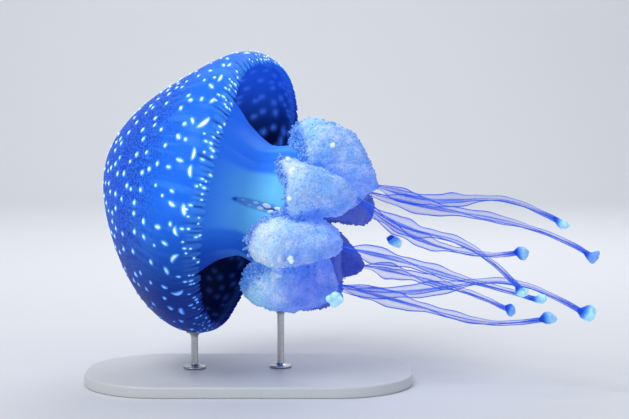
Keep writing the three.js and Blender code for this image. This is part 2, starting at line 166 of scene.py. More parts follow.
def spline(points, t):
    """Catmull-Rom spline: passes through every point, t from 0 to 1 at equal steps between them."""
    points = np.array(points, float)
    last = len(points) - 1
    place = np.clip(t, 0, 1) * last
    i = np.minimum(place.astype(int), last - 1)
    w = (place - i)[..., None]
    p0 = points[np.maximum(i - 1, 0)]
    p1 = points[i]
    p2 = points[i + 1]
    p3 = points[np.minimum(i + 2, last)]
    v0 = (p2 - p0) / 2
    v1 = (p3 - p1) / 2
    return (2 * p1 - 2 * p2 + v0 + v1) * w ** 3 + (3 * p2 - 3 * p1 - 2 * v0 - v1) * w ** 2 + v0 * w + p1


def polyline(points, t):
    """Straight stretches between points, t from 0 to 1 at equal steps between them."""
    points = np.array(points, float)
    knots = np.linspace(0, 1, len(points))
    return np.stack([np.interp(t, knots, points[:, i]) for i in range(points.shape[1])], -1)


def unit(vectors):
    """Each vector divided by its length."""
    return vectors / np.linalg.norm(vectors, axis=-1, keepdims=True)


def equal_turns(count):
    """Angles of a number of points at equal steps round a ring."""
    return np.arange(count) / count * TURN


def jitter(cell, seed):
    """Three numbers from 0 to 1 for each whole-number cell, always the same for the same cell: its
    three numbers times large primes, scrambled by shifts and products and cut to 24 bits."""
    mask = np.int64(0xFFFFFFFF)
    mixed = (cell @ np.array([73856093, 19349663, 83492791]) + seed * 2654435) & mask
    numbers = []
    for salt in (0x27D4EB2F, 0x165667B1, 0x9E3779B1):
        h = (mixed ^ salt) & mask
        h = ((h ^ (h >> 15)) * 0x2C1B3C6D) & mask
        h = ((h ^ (h >> 12)) * 0x297A2D39) & mask
        numbers.append(((h ^ (h >> 15)) & 0xFFFFFF) / float(0x1000000))
    return np.stack(numbers, -1)


def knobs(points, size, seed):
    """Field of round knobs: 1 at the nearest scattered centre, falling with the square of its distance.

    Each cube of the given size holds one centre at a scattered place.
    """
    scaled = points / size
    cell = np.floor(scaled).astype(np.int64)
    nearest = np.full(points.shape[:-1], 9.0)
    for step in np.ndindex(3, 3, 3):
        near = cell + (np.array(step) - 1)
        centre = near + 0.15 + 0.7 * jitter(near, seed)
        nearest = np.minimum(nearest, ((scaled - centre) ** 2).sum(-1))
    return 1 - np.clip(nearest, 0, 1)


def clouds(points, size, seed):
    """Soft noise from 0 to 1: cell corners hold scattered values, blended smoothly between them."""
    scaled = points / size
    cell = np.floor(scaled).astype(np.int64)
    part = scaled - cell
    part = part * part * (3 - 2 * part)
    total = np.zeros(points.shape[:-1])
    for step in np.ndindex(2, 2, 2):
        weight = np.prod(np.where(np.array(step) == 1, part, 1 - part), axis=-1)
        total += weight * jitter(cell + np.array(step), seed)[..., 0]
    return total


# ================================================================ the body's own places

def body_axes():
    """Local X, Y, Z as world vectors: Z to the crown, X up, -Y to the front, rolled about Z."""
    rise, heading = CROWN_RISE, CROWN_HEADING
    crownward = np.array([
        -math.cos(rise) * math.cos(heading),
        math.cos(rise) * math.sin(heading),
        math.sin(rise),
    ])
    back = np.cross(crownward, [0, 0, 1])
    back /= np.linalg.norm(back)
    up = np.cross(back, crownward)
    c, s = math.cos(BODY_ROLL), math.sin(BODY_ROLL)
    return np.array([c * up + s * back, c * back - s * up, crownward])


AXES = body_axes()


def on_body(turn, radius, height):
    """World place of a turn (0 top, a quarter is the front), a radius and a height."""
    turn, radius, height = np.broadcast_arrays(turn, radius, height)
    local = np.stack([radius * np.cos(turn), -radius * np.sin(turn), height], -1)
    return BELL_CENTRE + local @ AXES


def swelling(turn, centre, width):
    """1 at one turn (degrees), dying out over a width as a bell curve."""
    away = (np.degrees(turn) - centre + 180) % 360 - 180
    return np.exp(-(away / width) ** 2)


def settle(turn, radius, height):
    """The living shape: the upper side a little flatter, and the margin rolled in and out."""
    climb = np.clip((height - 10) / (BELL_HEIGHT - 10), 0, 1)
    flatter = 1 - BELL_FLAT * np.cos(turn) * np.sin(math.pi * climb)
    near_rim = np.clip((60 - height) / 60, 0, 1) ** 1.5 * smoothstep(radius, 45, 80)
    wave = 1.5 + 2.5 * np.cos(2 * (turn - math.radians(40)))
    wave = wave + 7 * swelling(turn, 22, 22) - 4.5 * swelling(turn, 180, 28)
    return radius * flatter, height + near_rim * wave


OUTER_ARC = np.vstack([
    bezier([(0, BELL_HEIGHT), (42, BELL_HEIGHT), (BELL_RADIUS, WIDEST_HEIGHT + 26),
            (BELL_RADIUS, WIDEST_HEIGHT)], np.linspace(0, 1, 900)),
    bezier([(BELL_RADIUS, WIDEST_HEIGHT), (BELL_RADIUS, WIDEST_HEIGHT - 10),
            (RIM_RADIUS + 7.5, 3 - RIM_DROP), (RIM_RADIUS, -RIM_DROP)], np.linspace(0, 1, 300))[1:],
])
ARC_STEPS = np.concatenate([[0], np.cumsum(np.linalg.norm(np.diff(OUTER_ARC, axis=0), axis=1))])
ARC_LENGTH = ARC_STEPS[-1]
ARC_SLOPE = np.gradient(OUTER_ARC, ARC_STEPS, axis=0)


def in_wall(share, depth):
    """Radius and height at a share of the outer arc, some depth in along the wall's normal."""
    s = np.asarray(share) * ARC_LENGTH
    radius, height = (np.interp(s, ARC_STEPS, OUTER_ARC[:, i]) for i in (0, 1))
    out, down = (np.interp(s, ARC_STEPS, ARC_SLOPE[:, i]) for i in (0, 1))
    beyond = np.maximum(s - ARC_LENGTH, 0)
    return radius + out * beyond + down * depth, height + down * beyond - out * depth


def drawn_up(share, turn):
    """The margin is drawn up as the bell contracts: most at the top, a little underneath."""
    pull = 0.3 * swelling(turn, -5, 50) + 0.1 * swelling(turn, 215, 45)
    return share - np.maximum(0, share - MARGIN_START) * pull


def wall_thickness(share):
    """Falls evenly from the crown's edge to the rim."""
    return mix(WALL_AT_CROWN, WALL_AT_RIM, np.clip((share - CROWN_EDGE) / (1 - CROWN_EDGE), 0, 1))


def lappet_phase(turn):
    """-1 to 1 across each lappet, 0 along its middle; the lappets differ a little in width."""
    place = turn / TURN * LAPPETS
    place = place + 0.22 * np.sin(2.1 * place) * np.sin(0.37 * place)
    return 2 * (place % 1) - 1, np.floor(place)


def scattered(number, seed):
    """A number from 0 to 1 for each whole number."""
    cell = np.stack([number, number * 0, number * 0], -1).astype(np.int64)
    return jitter(cell, seed)[..., 0]


def lappet_reach(turn):
    """Share of the outer arc where the edge lies: tongues of uneven length, each split in two
    fingers by a shallow notch and cut apart by deeper ones."""
    phase, number = lappet_phase(turn)
    notch = np.where(phase > 0, number + 1, number) % LAPPETS
    number = number % LAPPETS
    depth = LAPPET_NOTCH * mix(0.6, 1.1, scattered(notch, 5))
    split = LAPPET_NOTCH * mix(0.2, 0.8, scattered(number, 8))
    cut = 1.3 * depth * np.abs(phase) ** 3.2 + split * np.exp(-(phase / 0.24) ** 2)
    return LAPPET_ROOT + (1 - LAPPET_ROOT) * (mix(0.84, 1.02, scattered(number, 6)) - cut)


def lappet_furrows(share, turn):
    """1 in the furrows that run up between the lappets, some further than others, less in the one
    that splits each lappet, and 0 elsewhere."""
    phase, number = lappet_phase(turn)
    notch = np.where(phase > 0, number + 1, number) % LAPPETS
    half_pitch = math.pi * RIM_RADIUS / LAPPETS
    start = mix(0.885, 0.93, scattered(notch, 7))
    between = np.exp(-(((1 - np.abs(phase)) * half_pitch) / 0.7) ** 2)
    between = between * smoothstep(share, start, start + 0.045)
    inside = np.exp(-((phase * half_pitch) / 0.65) ** 2) * smoothstep(share, 0.93, 0.965)
    return np.maximum(between, 0.7 * inside)


def outer_relief(share, turn):
    """How deep the outer face lies: down in the furrows, and up along the middle of each lappet."""
    side = np.abs(lappet_phase(turn)[0])
    pillow = 0.3 * (1 - side ** 2) * smoothstep(share, 0.92, 0.98)
    return 0.5 * lappet_furrows(share, turn) - pillow


# ================================================================ meshes

def new_mesh(name, points, faces, fields=None):
    """A smooth mesh from points in mm and a list of face arrays (quads, triangles), with its
    fields stored as one number per point."""
    mesh = bpy.data.meshes.new(name)
    mesh.vertices.add(len(points))
    mesh.vertices.foreach_set("co", (np.asarray(points) * MM).astype(np.float32).ravel())
    corners = np.concatenate([f.ravel() for f in faces]).astype(np.int32)
    sizes = np.concatenate([np.full(len(f), f.shape[1]) for f in faces])
    mesh.loops.add(len(corners))
    mesh.loops.foreach_set("vertex_index", corners)
    mesh.polygons.add(len(sizes))
    starts = np.concatenate([[0], np.cumsum(sizes)[:-1]]).astype(np.int32)
    mesh.polygons.foreach_set("loop_start", starts)
    mesh.update(calc_edges=True)
    mesh.validate()
    for key, values in (fields or {}).items():
        layer = mesh.attributes.new(key, "FLOAT", "POINT")
        layer.data.foreach_set("value", np.asarray(values, np.float32).ravel())
    mesh.shade_smooth()
    return mesh


def add_piece(name, mesh, material, nodes=()):
    """Puts a mesh in the scene as a piece of the object that stands for some of its solids."""
    piece = bpy.data.objects.new(name, mesh)
    bpy.context.scene.collection.objects.link(piece)
    mesh.materials.append(material)
    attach(piece, "root")
    if nodes:
        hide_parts(*nodes)


def ring_quads(rows, columns, start=0):
    """Quads of a grid whose columns close on themselves; rows run from the first ring onward."""
    i, j = np.meshgrid(np.arange(rows - 1), np.arange(columns), indexing="ij")
    k = (j + 1) % columns
    quads = np.stack([i * columns + j, (i + 1) * columns + j,
                      (i + 1) * columns + k, i * columns + k], -1)
    return quads.reshape(-1, 4) + start


def fan(centre, ring, flip):
    """Triangles from one point to a closed ring of points."""
    after = np.roll(ring, -1)
    pairs = (after, ring) if flip else (ring, after)
    return np.stack([np.full(len(ring), centre), *pairs], -1)


def closed_tube(grid):
    """Points and faces of rings (rows, columns, 3), with a point added in the middle of each end."""
    rows, columns = grid.shape[:2]
    points = np.vstack([grid.reshape(-1, 3), grid[0].mean(0), grid[-1].mean(0)])
    first = fan(rows * columns, np.arange(columns), False)
    last = fan(rows * columns + 1, np.arange(columns) + (rows - 1) * columns, True)
    return points, [ring_quads(rows, columns), np.vstack([first, last])]


def copied(faces, copies, count):
    """Faces of one shape repeated, each copy on its own run of points: a copy's point numbers are
    the shape's plus the number of points in all the copies before it."""
    shift = (np.arange(copies) * count)[:, None, None]
    return [(group[None] + shift).reshape(-1, group.shape[1]) for group in faces]


def outward(points, faces):
    """Turns every face round if they enclose a negative volume."""
    volume = 0.0
    for group in faces:
        a, b, c = (points[group[:, i]] for i in (0, 1, 2))
        volume += np.einsum("ij,ij->", a, np.cross(b, c))
        if group.shape[1] == 4:
            d = points[group[:, 3]]
            volume += np.einsum("ij,ij->", a, np.cross(c, d))
    return faces if volume > 0 else [group[:, ::-1] for group in faces]


def grid_normals(grid):
    """Unit normal of a grid closed along its columns, from the differences along both ways."""
    down = np.gradient(grid, axis=0)
    across = np.roll(grid, -1, axis=1) - np.roll(grid, 1, axis=1)
    normal = np.cross(down, across)
    normal /= np.maximum(np.linalg.norm(normal, axis=-1, keepdims=True), 1e-9)
    middle = grid.mean(axis=(0, 1))
    return normal if np.mean(np.sum(normal * (grid - middle), -1)) > 0 else -normal


# ================================================================ materials

def linear(code, alpha=1.0):
    """sRGB hex such as "2460e0" to a linear colour."""
    values = [int(code[i:i + 2], 16) / 255 for i in (0, 2, 4)]
    return [v / 12.92 if v <= 0.04045 else ((v + 0.055) / 1.055) ** 2.4 for v in values] + [alpha]


def add(tree, kind, settings=None, **links):
    """Adds a node. Settings are its own values or its sockets' defaults, by name or number; links
    feed its sockets, named with _ for a space or i and a number."""
    node = tree.nodes.new(kind)
    for key, value in (settings or {}).items():
        if isinstance(key, int) or key in node.inputs:
            node.inputs[key].default_value = value
        else:
            setattr(node, key, value)
    for key, source in links.items():
        socket = node.inputs[int(key[1:])] if key[1:].isdigit() else node.inputs[key.replace("_", " ")]
        tree.links.new(source, socket)
    return node


def new_material(name):
    """An empty node material with its Principled shader wired to the output."""
    material = bpy.data.materials.new(name)
    material.use_nodes = True
    tree = material.node_tree
    tree.nodes.clear()
    shader = add(tree, "ShaderNodeBsdfPrincipled")
    add(tree, "ShaderNodeOutputMaterial", Surface=shader.outputs[0])
    return material, tree, shader


def set_finish(shader, **values):
    """Sets numbers and colours that are the same all over on the shader's own sockets, named with _
    for a space."""
    for key, value in values.items():
        shader.inputs[key.replace("_", " ")].default_value = value


def layered(tree, ground, *layers):
    """Lays colours one over another. Each layer is how much it covers, a field's name or a node's
    output, and its colour; a colour is a hex code or a node's output. Returns the last output."""
    for cover, colour in layers:
        settings, links = {"data_type": "RGBA"}, {}
        for index, value in ((0, cover), (6, ground), (7, colour)):
            if not isinstance(value, str):
                links[f"i{index}"] = value
            elif index:
                settings[index] = linear(value)
            else:
                stored = add(tree, "ShaderNodeAttribute", {"attribute_name": value})
                links["i0"] = stored.outputs["Fac"]
        ground = add(tree, "ShaderNodeMix", settings, **links).outputs[2]
    return ground


def glow_painted_in(tree, shader, colour, strength):
    """Gives the surface a colour, and a painted glow: some of the colour shines out as emission, standing in
    for light that crossed the jelly.
    """
    tree.links.new(colour, shader.inputs["Base Color"])
    tree.links.new(colour, shader.inputs["Emission Color"])
    set_finish(shader, Emission_Strength=strength)


def wet_film(shader, roughness):
    """The surface shared by all the flesh: jelly bends light hardly more than water does, so its film
    of water gives only a faint gloss."""
    set_finish(shader, Roughness=roughness, IOR=JELLY_IOR, Specular_IOR_Level=FILM_GLOSS)


def wet_jelly(shader, roughness, depth):
    """Wet film over thick jelly: light also spreads some way in, blue furthest, and a soft sheen shows
    where the surface turns away."""
    wet_film(shader, roughness)
    set_finish(shader, Subsurface_Weight=0.3, Subsurface_Radius=(0.15, 0.4, 1.0), Subsurface_Scale=depth,
               Sheen_Weight=0.12, Sheen_Tint=linear("4f8cff"))


def bell_jelly():
    """Wet bell mesoglea: thick clear jelly coloured blue by its tissue. A thin film of water gives a
    soft gloss, and light spreads a few millimetres inside it, so shadows are soft and edges glow. Its
    colour also carries painted shade and painted glow."""
    material, tree, shader = new_material("wet_bell_mesoglea")
    place = add(tree, "ShaderNodeTexCoord").outputs["Object"]
    # pits of the crown: a net of small dark dimples about 1.7 mm apart
    pits = add(tree, "ShaderNodeTexVoronoi", {"Scale": 1 / 0.0017, "Randomness": 0.75}, Vector=place)
    dots = add(tree, "ShaderNodeMapRange", {1: 0.3, 2: 0.6, 3: 1.0, 4: 0.0}, i0=pits.outputs["Distance"])
    where = add(tree, "ShaderNodeAttribute", {"attribute_name": "pits"})
    pitting = add(tree, "ShaderNodeMath", {"operation": "MULTIPLY"}, i0=dots.outputs[0],
                  i1=where.outputs["Fac"]).outputs[0]
    # slow patches, some 25 mm across, of lighter and darker tissue
    patches = add(tree, "ShaderNodeTexNoise", {"Scale": 40.0, "Detail": 3.0}, Vector=place)
    # painted shade darkens the furrows between the lappets and the lower side of the bell; painted glow
    # lightens it round the marks, along the lappets' fingers and towards the margin
    outer = layered(tree, "1e58da", (patches.outputs["Fac"], "2c6ee8"), ("margin", "1e6ce6"),
                    (pitting, "1034a6"), ("furrow", "08288a"), ("halo", "4c9cf8"), ("low", "03186c"))
    # painted shade makes the hollow near black except high up inside it; painted glow lightens it round the
    # marks seen from inside and at the rim
    hollow = layered(tree, "1c5cd0", ("low", "020930"), ("halo", "4a84ee"))
    # painted shade darkens the column towards its foot, and painted light brightens the broad faces of its
    # ribs
    column = layered(tree, "2f7ef8", ("low", "0e4ac4"), ("rib", "70caf9"))
    # painted shade: the slits are darker
    body = layered(tree, outer, ("inside", hollow), ("column", column), ("slit", "123ca8"))
    # painted glow: a share of the bell's colour shines out as emission
    glow_painted_in(tree, shader, body, 0.3)
    height = add(tree, "ShaderNodeBump", {"Strength": 0.5, "Distance": 0.0005, "invert": True},
                 Height=pitting)
    tree.links.new(height.outputs[0], shader.inputs["Normal"])
    wet_jelly(shader, 0.5, 0.004)
    return material


def spot_jelly():
    """Raised white spots: clusters of pale pigment cells under a wet film, brighter than the jelly
    around them, with a painted glow round each: a clear blue skirt that fades out."""
    material, tree, shader = new_material("pale_spot_tissue")
    # painted shade: the spots are bluer lower down
    colour = layered(tree, "5cb0f8", ("crest", "f0fbff"), ("low", "3c7ce8"))
    # painted glow: a share of the spots' colour shines out as emission
    glow_painted_in(tree, shader, colour, 0.5)
    dense = add(tree, "ShaderNodeAttribute", {"attribute_name": "dense"})
    tree.links.new(dense.outputs["Fac"], shader.inputs["Alpha"])
    wet_jelly(shader, 0.35, 0.001)
    return material


def frill_jelly():
    """Cauliflower frills: milky granular tissue, clear deep blue between the grains of its edges,
    lavender where it is thin. Painted shade darkens the creases between its knobs, deepens the lavender
    lower down and dulls the inner sides of the far lobes, and painted highlights whiten small patches
    and the side that faces the front."""
    material, tree, shader = new_material("granular_frill_tissue")
    place = add(tree, "ShaderNodeTexCoord").outputs["Object"]
    # grains about 1.4 mm across, drawn a little coarse so that they show
    grains = add(tree, "ShaderNodeTexVoronoi", {"Scale": 1 / 0.0014}, Vector=place)
    spread = {1: 0.2, 2: 0.65, 3: 0.0, 4: 0.4}
    speckle = add(tree, "ShaderNodeMapRange", spread, i0=grains.outputs["Distance"])
    # patches some 12 mm across where the tissue is thicker and whiter
    patches = add(tree, "ShaderNodeTexNoise", {"Scale": 85.0, "Detail": 3.0}, Vector=place)
    thick = add(tree, "ShaderNodeMapRange", {1: 0.42, 2: 0.72, 3: 0.0, 4: 1.0}, i0=patches.outputs["Fac"])
    lavender = layered(tree, "6c88f0", (thick.outputs[0], "9cacf8"))
    # painted highlights whiten small patches and the front, and painted shade darkens the creases, the lower
    # lavender and the far lobes' inner sides
    colour = layered(tree, "9cdafa", (thick.outputs[0], "dcf6fe"), ("lilac", lavender),
                     (speckle.outputs[0], "4c88ea"), ("cream", "f2faf8"), ("hem", "44a8f8"),
                     ("fold", "1a48bc"), ("dull", "3e4cb4"))
    # painted glow: a share of the frills' colour shines out as emission
    glow_painted_in(tree, shader, colour, 0.28)
    height = add(tree, "ShaderNodeBump", {"Strength": 0.5, "Distance": 0.0005, "invert": True},
                 Height=grains.outputs["Distance"])
    tree.links.new(height.outputs[0], shader.inputs["Normal"])
    wet_jelly(shader, 0.5, 0.001)
    return material


def filament_jelly():
    """Trailing filaments: clear blue jelly with three wings whose edges are denser, so they show as
    bright lines."""
    material, tree, shader = new_material("clear_filament_jelly")
    edge = add(tree, "ShaderNodeAttribute", {"attribute_name": "edge"}).outputs["Fac"]
    # painted glow: a share of the filaments' colour shines out as emission
    glow_painted_in(tree, shader, layered(tree, "2050d8", (edge, "3468e4")), 0.3)
    opacity = add(tree, "ShaderNodeMapRange", {1: 0.0, 2: 1.0, 3: 0.14, 4: 0.92}, i0=edge)
    tree.links.new(opacity.outputs[0], shader.inputs["Alpha"])
    wet_film(shader, 0.4)
    return material


def club_jelly():
    """Clubs at the filaments' ends: dense pale jelly packed with stinging cells, so it is bright and
    finely grained, and clearer towards the stem."""
    material, tree, shader = new_material("dense_club_jelly")
    place = add(tree, "ShaderNodeTexCoord").outputs["Object"]
    # grains about 0.9 mm across
    grains = add(tree, "ShaderNodeTexVoronoi", {"Scale": 1 / 0.0009}, Vector=place)
    colour = layered(tree, "4ca2f2", ("crest", "c0f0fd"), ("shade", "2a5ee0"), ("stem", "1c44c4"))
    # painted glow: a share of the clubs' colour shines out as emission
    glow_painted_in(tree, shader, colour, 0.3)
    height = add(tree, "ShaderNodeBump", {"Strength": 0.4, "Distance": 0.0003, "invert": True},
                 Height=grains.outputs["Distance"])
    tree.links.new(height.outputs[0], shader.inputs["Normal"])
    wet_jelly(shader, 0.4, 0.002)
    return material


def satin_paint():
    """Powder-coated aluminium base: an even pale grey with the coat's faint orange-peel."""
    material, tree, shader = new_material("satin_powder_coat")
    place = add(tree, "ShaderNodeTexCoord").outputs["Object"]
    # orange-peel ripples about 1.2 mm across, drawn a little coarse so that they show
    peel = add(tree, "ShaderNodeTexNoise", {"Scale": 1 / 0.0012, "Detail": 1.0}, Vector=place)
    height = add(tree, "ShaderNodeBump", {"Strength": 0.12, "Distance": 0.0002}, Height=peel.outputs["Fac"])
    tree.links.new(height.outputs[0], shader.inputs["Normal"])
    set_finish(shader, Base_Color=linear("d3d6d9"), Roughness=0.45)
    return material


def brushed_steel():
    """Brushed stainless rod: fine rings from turning, so highlights stretch along it."""
    material, tree, shader = new_material("brushed_stainless_steel")
    place = add(tree, "ShaderNodeTexCoord").outputs["Object"]
    stretched = add(tree, "ShaderNodeMapping", {"Scale": (80.0, 80.0, 4000.0)}, Vector=place)
    lines = add(tree, "ShaderNodeTexNoise", {"Scale": 1.0, "Detail": 2.0}, Vector=stretched.outputs[0])
    rough = add(tree, "ShaderNodeMapRange", {1: 0.3, 2: 0.7, 3: 0.24, 4: 0.42}, i0=lines.outputs["Fac"])
    tree.links.new(rough.outputs[0], shader.inputs["Roughness"])
    set_finish(shader, Base_Color=linear("c3c6ca"), Metallic=1.0)
    return material


# ================================================================ camera, floor and light

def set_camera():
    """A long lens from the front, five degrees above level, with the whole animal in the frame."""
    elevation = math.radians(5.0)
    distance, framed_width, sensor = 1100.0, 440.3, 36.0
    beside, below = 49.0, 8.6
    right = np.array([1.0, 0.0, 0.0])
    up = np.array([0.0, math.sin(elevation), math.cos(elevation)])
    forward = np.array([0.0, math.cos(elevation), -math.sin(elevation)])
    target = BELL_CENTRE + beside * right - below * up
    lens = bpy.data.cameras.new("camera")
    lens.sensor_width = sensor
    lens.lens = sensor * distance / framed_width
    camera = bpy.data.objects.new("camera", lens)
    camera.location = (target - distance * forward) * MM
    camera.rotation_euler = (math.radians(90.0) - elevation, 0.0, 0.0)
    bpy.context.scene.collection.objects.link(camera)
    bpy.context.scene.camera = camera


def set_stage():
    """A pale floor that sweeps up behind into a backdrop, as one curved sheet."""
    x = np.linspace(-9000, 9000, 3)
    bend = np.linspace(0, math.pi / 2, 13)
    y = np.concatenate([[-9000], 1500 + 500 * np.sin(bend), [2000]])
    z = np.concatenate([[0], 500 - 500 * np.cos(bend), [2600]])
    grid = np.stack([np.tile(x, (len(y), 1)), np.tile(y[:, None], (1, 3)), np.tile(z[:, None], (1, 3))], -1)
    i, j = np.meshgrid(np.arange(len(y) - 1), np.arange(2), indexing="ij")
    quads = np.stack([i * 3 + j, i * 3 + j + 1, (i + 1) * 3 + j + 1, (i + 1) * 3 + j], -1).reshape(-1, 4)
    mesh = new_mesh("floor", grid.reshape(-1, 3), [quads])
    material, _, shader = new_material("pale_seamless_paper")
    set_finish(shader, Base_Color=linear("dcdfe4"), Roughness=0.9)
    mesh.materials.append(material)
    floor = bpy.data.objects.new("floor", mesh)
    bpy.context.scene.collection.objects.link(floor)


def add_softbox(name, place, target, size, power):
    """A square soft light at a place, turned to face a target; both in metres."""
    light = bpy.data.lights.new(name, "AREA")
    light.shape = "SQUARE"
    light.size = size
    light.energy = power
    lamp = bpy.data.objects.new(name, light)
    away = np.array(place) - np.array(target)
    yaw = math.atan2(away[0], -away[1])
    pitch = math.atan2(math.hypot(away[0], away[1]), away[2])
    lamp.location = place
    lamp.rotation_euler = (pitch, 0.0, yaw)
    bpy.context.scene.collection.objects.link(lamp)


def set_light():
    """A large key from the upper left front, a weak fill, a soft light from behind and above, and a
    wash on the backdrop."""
    animal = BELL_CENTRE * MM
    add_softbox("key", (-0.55, -0.75, 1.25), animal, 0.7, 12.0)
    add_softbox("fill", (1.3, -1.1, 0.6), animal, 1.2, 2.5)
    add_softbox("back", (0.4, 0.8, 1.2), animal, 0.8, 5.0)
    add_softbox("wash", (0.0, 0.6, 1.6), (0.0, 2.0, 0.9), 1.5, 16.0)
    world = bpy.data.worlds.new("studio")
    world.use_nodes = True
    background = world.node_tree.nodes["Background"]
    background.inputs["Color"].default_value = linear("e9edf4")
    background.inputs["Strength"].default_value = 0.42
    bpy.context.scene.world = world
    bpy.context.scene.view_settings.view_transform = "Standard"


# ================================================================ spots

def scatter_spots():
    """The bell's markings, one row each: share of the arc, turn, half length, half width, lean from
    the ring's own direction and bend. Round dots cover the crown at random but never touching,
    ovals the shoulder, long bent blotches form one ring above the margin, and short dashes run in
    rows out along the fingers of the lappets. The shoulder's marks are smaller underneath."""
    marks = []
    places = np.empty((0, 3))
    while len(marks) < CROWN_DOTS:
        share, turn = RANDOM.uniform(0, CROWN_DOTS_END), RANDOM.uniform(0, TURN)
        radius, height = in_wall(share, 0.0)
        place = on_body(turn, radius, height)
        crowded = len(places) and np.linalg.norm(places - place, axis=1).min() < CROWN_DOT_GAP
        if RANDOM.random() * 84 > radius or crowded:  # a ring gets dots in proportion to its radius
            continue
        places = np.vstack([places, place])
        width = RANDOM.uniform(1.05, 1.55)
        half = width * mix(1.0, 1.2, share / CROWN_DOTS_END)
        marks.append((share, turn, half, width, RANDOM.uniform(0, TURN), 0.0))

    for share, spread, count, half, width, lean, bend in MARK_RINGS:
        start = RANDOM.uniform(0, TURN)
        for i in range(count):
            marks.append((
                share + RANDOM.uniform(-spread, spread),
                start + (i + RANDOM.uniform(-0.35, 0.35)) * TURN / count,
                half * RANDOM.uniform(0.5, 1.25),
                width * RANDOM.uniform(0.75, 1.2),
                lean + RANDOM.normal(0, 0.5),
                RANDOM.uniform(-bend, bend),
            ))

    pitch = TURN / LAPPETS
    for i in range(LAPPETS):
        for aside in (-0.25, 0.25):
            turn = (i + 0.5 + aside) * pitch
            for share, chance in DASH_ROWS:
                if RANDOM.random() < chance:
                    half, width = RANDOM.uniform(0.8, 1.7), RANDOM.uniform(0.5, 0.8)
                    place = share + RANDOM.uniform(-0.006, 0.006), turn + RANDOM.uniform(-0.1, 0.1) * pitch
                    marks.append((*place, half, width, TURN / 4, 0.0))
    marks = np.array(marks)
    marks[:, 2:4] *= 1 - 0.5 * swelling(marks[:, 1:2], 175, 55) * smoothstep(marks[:, :1], 0.66, 0.76)
    return marks


def spots_mesh(marks):
    """Each mark is a low dome on the outer face: three rings of points at equal steps from its middle,
    lifted by 1 - distance squared, with a fifth of the lift left at its rim. Two wider rings close
    to the skin carry a painted glow round it, and a point below the skin closes it."""
    sides = 10
    angle = equal_turns(sides)
    out = np.repeat([1 / 3, 2 / 3, 1, 1, 1], sides)
    wider = np.repeat([0, 0, 0, 0.7, 1.7], sides)
    cos, sin = np.tile(np.cos(angle), 5), np.tile(np.sin(angle), 5)
    lift = np.concatenate([[1], np.repeat([0.89, 0.56, 0.2, 0.17, -0.1], sides), [-1.2]])
    dense = np.concatenate([[1], np.repeat([1, 1, 1, 0.45, 0], sides), [0]])
    share, turn, half, width, lean, bend = (marks[:, i:i + 1] for i in range(6))
    glow = wider * np.clip(half / 1.5, 0.55, 1.0)
    middle = np.zeros((len(marks), 1))
    along = np.hstack([middle, (half * out + glow) * cos, middle])
    across = np.hstack([middle, (width * out + glow) * sin, middle]) + bend * along ** 2
    ring = along * np.cos(lean) - across * np.sin(lean)
    down = along * np.sin(lean) + across * np.cos(lean)
    radius = np.maximum(in_wall(share, 0.0)[0], 3.0)
    turns = turn + ring / radius
    shares = np.abs(share + down / ARC_LENGTH)
    depth = outer_relief(shares, turns) - np.clip(0.5 * half, 0.4, 0.75) * lift
    points = on_body(turns, *settle(turns, *in_wall(drawn_up(shares, turns), depth)))
    count = points.shape[1]
    inner = np.arange(1, sides + 1)
    top = fan(0, inner, False)
    under = fan(count - 1, inner + 4 * sides, True)
    faces = outward(points[0], [ring_quads(5, sides, 1), np.vstack([top, under])])
    faces = copied(faces, len(marks), count)
    points = points.reshape(-1, 3)
    fields = {
        "crest": np.tile(smoothstep(lift, 0.15, 0.7), len(marks)),
        # painted glow: the skirt round each mark fades out
        "dense": np.tile(dense, len(marks)),
        # painted shade: the marks are darker lower down
        "low": 0.85 * (1 - smoothstep(points[:, 2], 55, 128)),
    }
    return new_mesh("bell_spots", points, faces, fields)


def painted_spot_glow(share, turn, marks, spread):
    """Painted glow of the marks at some places of the wall, as if seen through its jelly: for each mark a
    bell curve of the distance to its outline, and the brightest wins."""
    radius = in_wall(share, 0.0)[0]
    glow = np.zeros(share.shape)
    for mark_share, mark_turn, half, width, *_ in marks:
        ring = ((turn - mark_turn + math.pi) % TURN - math.pi) * radius
        down = (share - mark_share) * ARC_LENGTH
        gap = (ring / (half + spread)) ** 2 + (down / (width + spread)) ** 2
        glow = np.maximum(glow, np.exp(-gap * 1.6))
    return glow


# ================================================================ skin of bell and column

def column_ribs(turn, height, radius):
    """Eight ribs, two in each quarter: the side is pinched in between them, most at the quarters,
    where a long narrow slit opens, darkened by painted shade, most at its head and along its parting.
    Returns the new radius, the painted light on the broad face either side of the slit, and the slit."""
    beside = np.abs(2 * ((turn / TURN * ARMS) % 1) - 1)
    quarter = np.abs(((turn / TURN * 4 + 0.5) % 1) - 0.5) * TURN / 4
    grown = smoothstep(-height, -34, 4)
    pinch = (0.05 + 0.02 * np.exp(-(quarter / 0.3) ** 2)) * beside ** 3
    along = np.clip((height - SLIT_FOOT) / (SLIT_HEAD - SLIT_FOOT), 0, 1)
    half = SLIT_HALF_WIDTH * np.sin(math.pi * along) ** 0.3 * (1 - 0.15 * along)
    away = quarter * radius
    slit = (1 - smoothstep(away, half - 1.2, half + 0.6)) * (half > 0.2)
    parting = (1 - smoothstep(away, 0.5, 1.3)) * (1 - smoothstep(along, 0.4, 0.6))
    # the slit is sunk a little and darkened as painted shade, fully at its head and along its parting
    slit = slit * mix(0.42, 1, np.maximum(smoothstep(along, 0.92, 0.97), parting))
    broad = 1 - smoothstep(np.degrees(quarter), 27, 34)
    # painted light: the broad faces are lit most towards the front and back, and more the lower down they lie
    turned_out = 0.3 + 0.7 * np.sin(turn) ** 2
    bright = (0.1 + 0.9 * broad) * turned_out * smoothstep(-height, -20, 34)
    return radius * (1 - pinch * grown) - 1.0 * slit, bright, slit


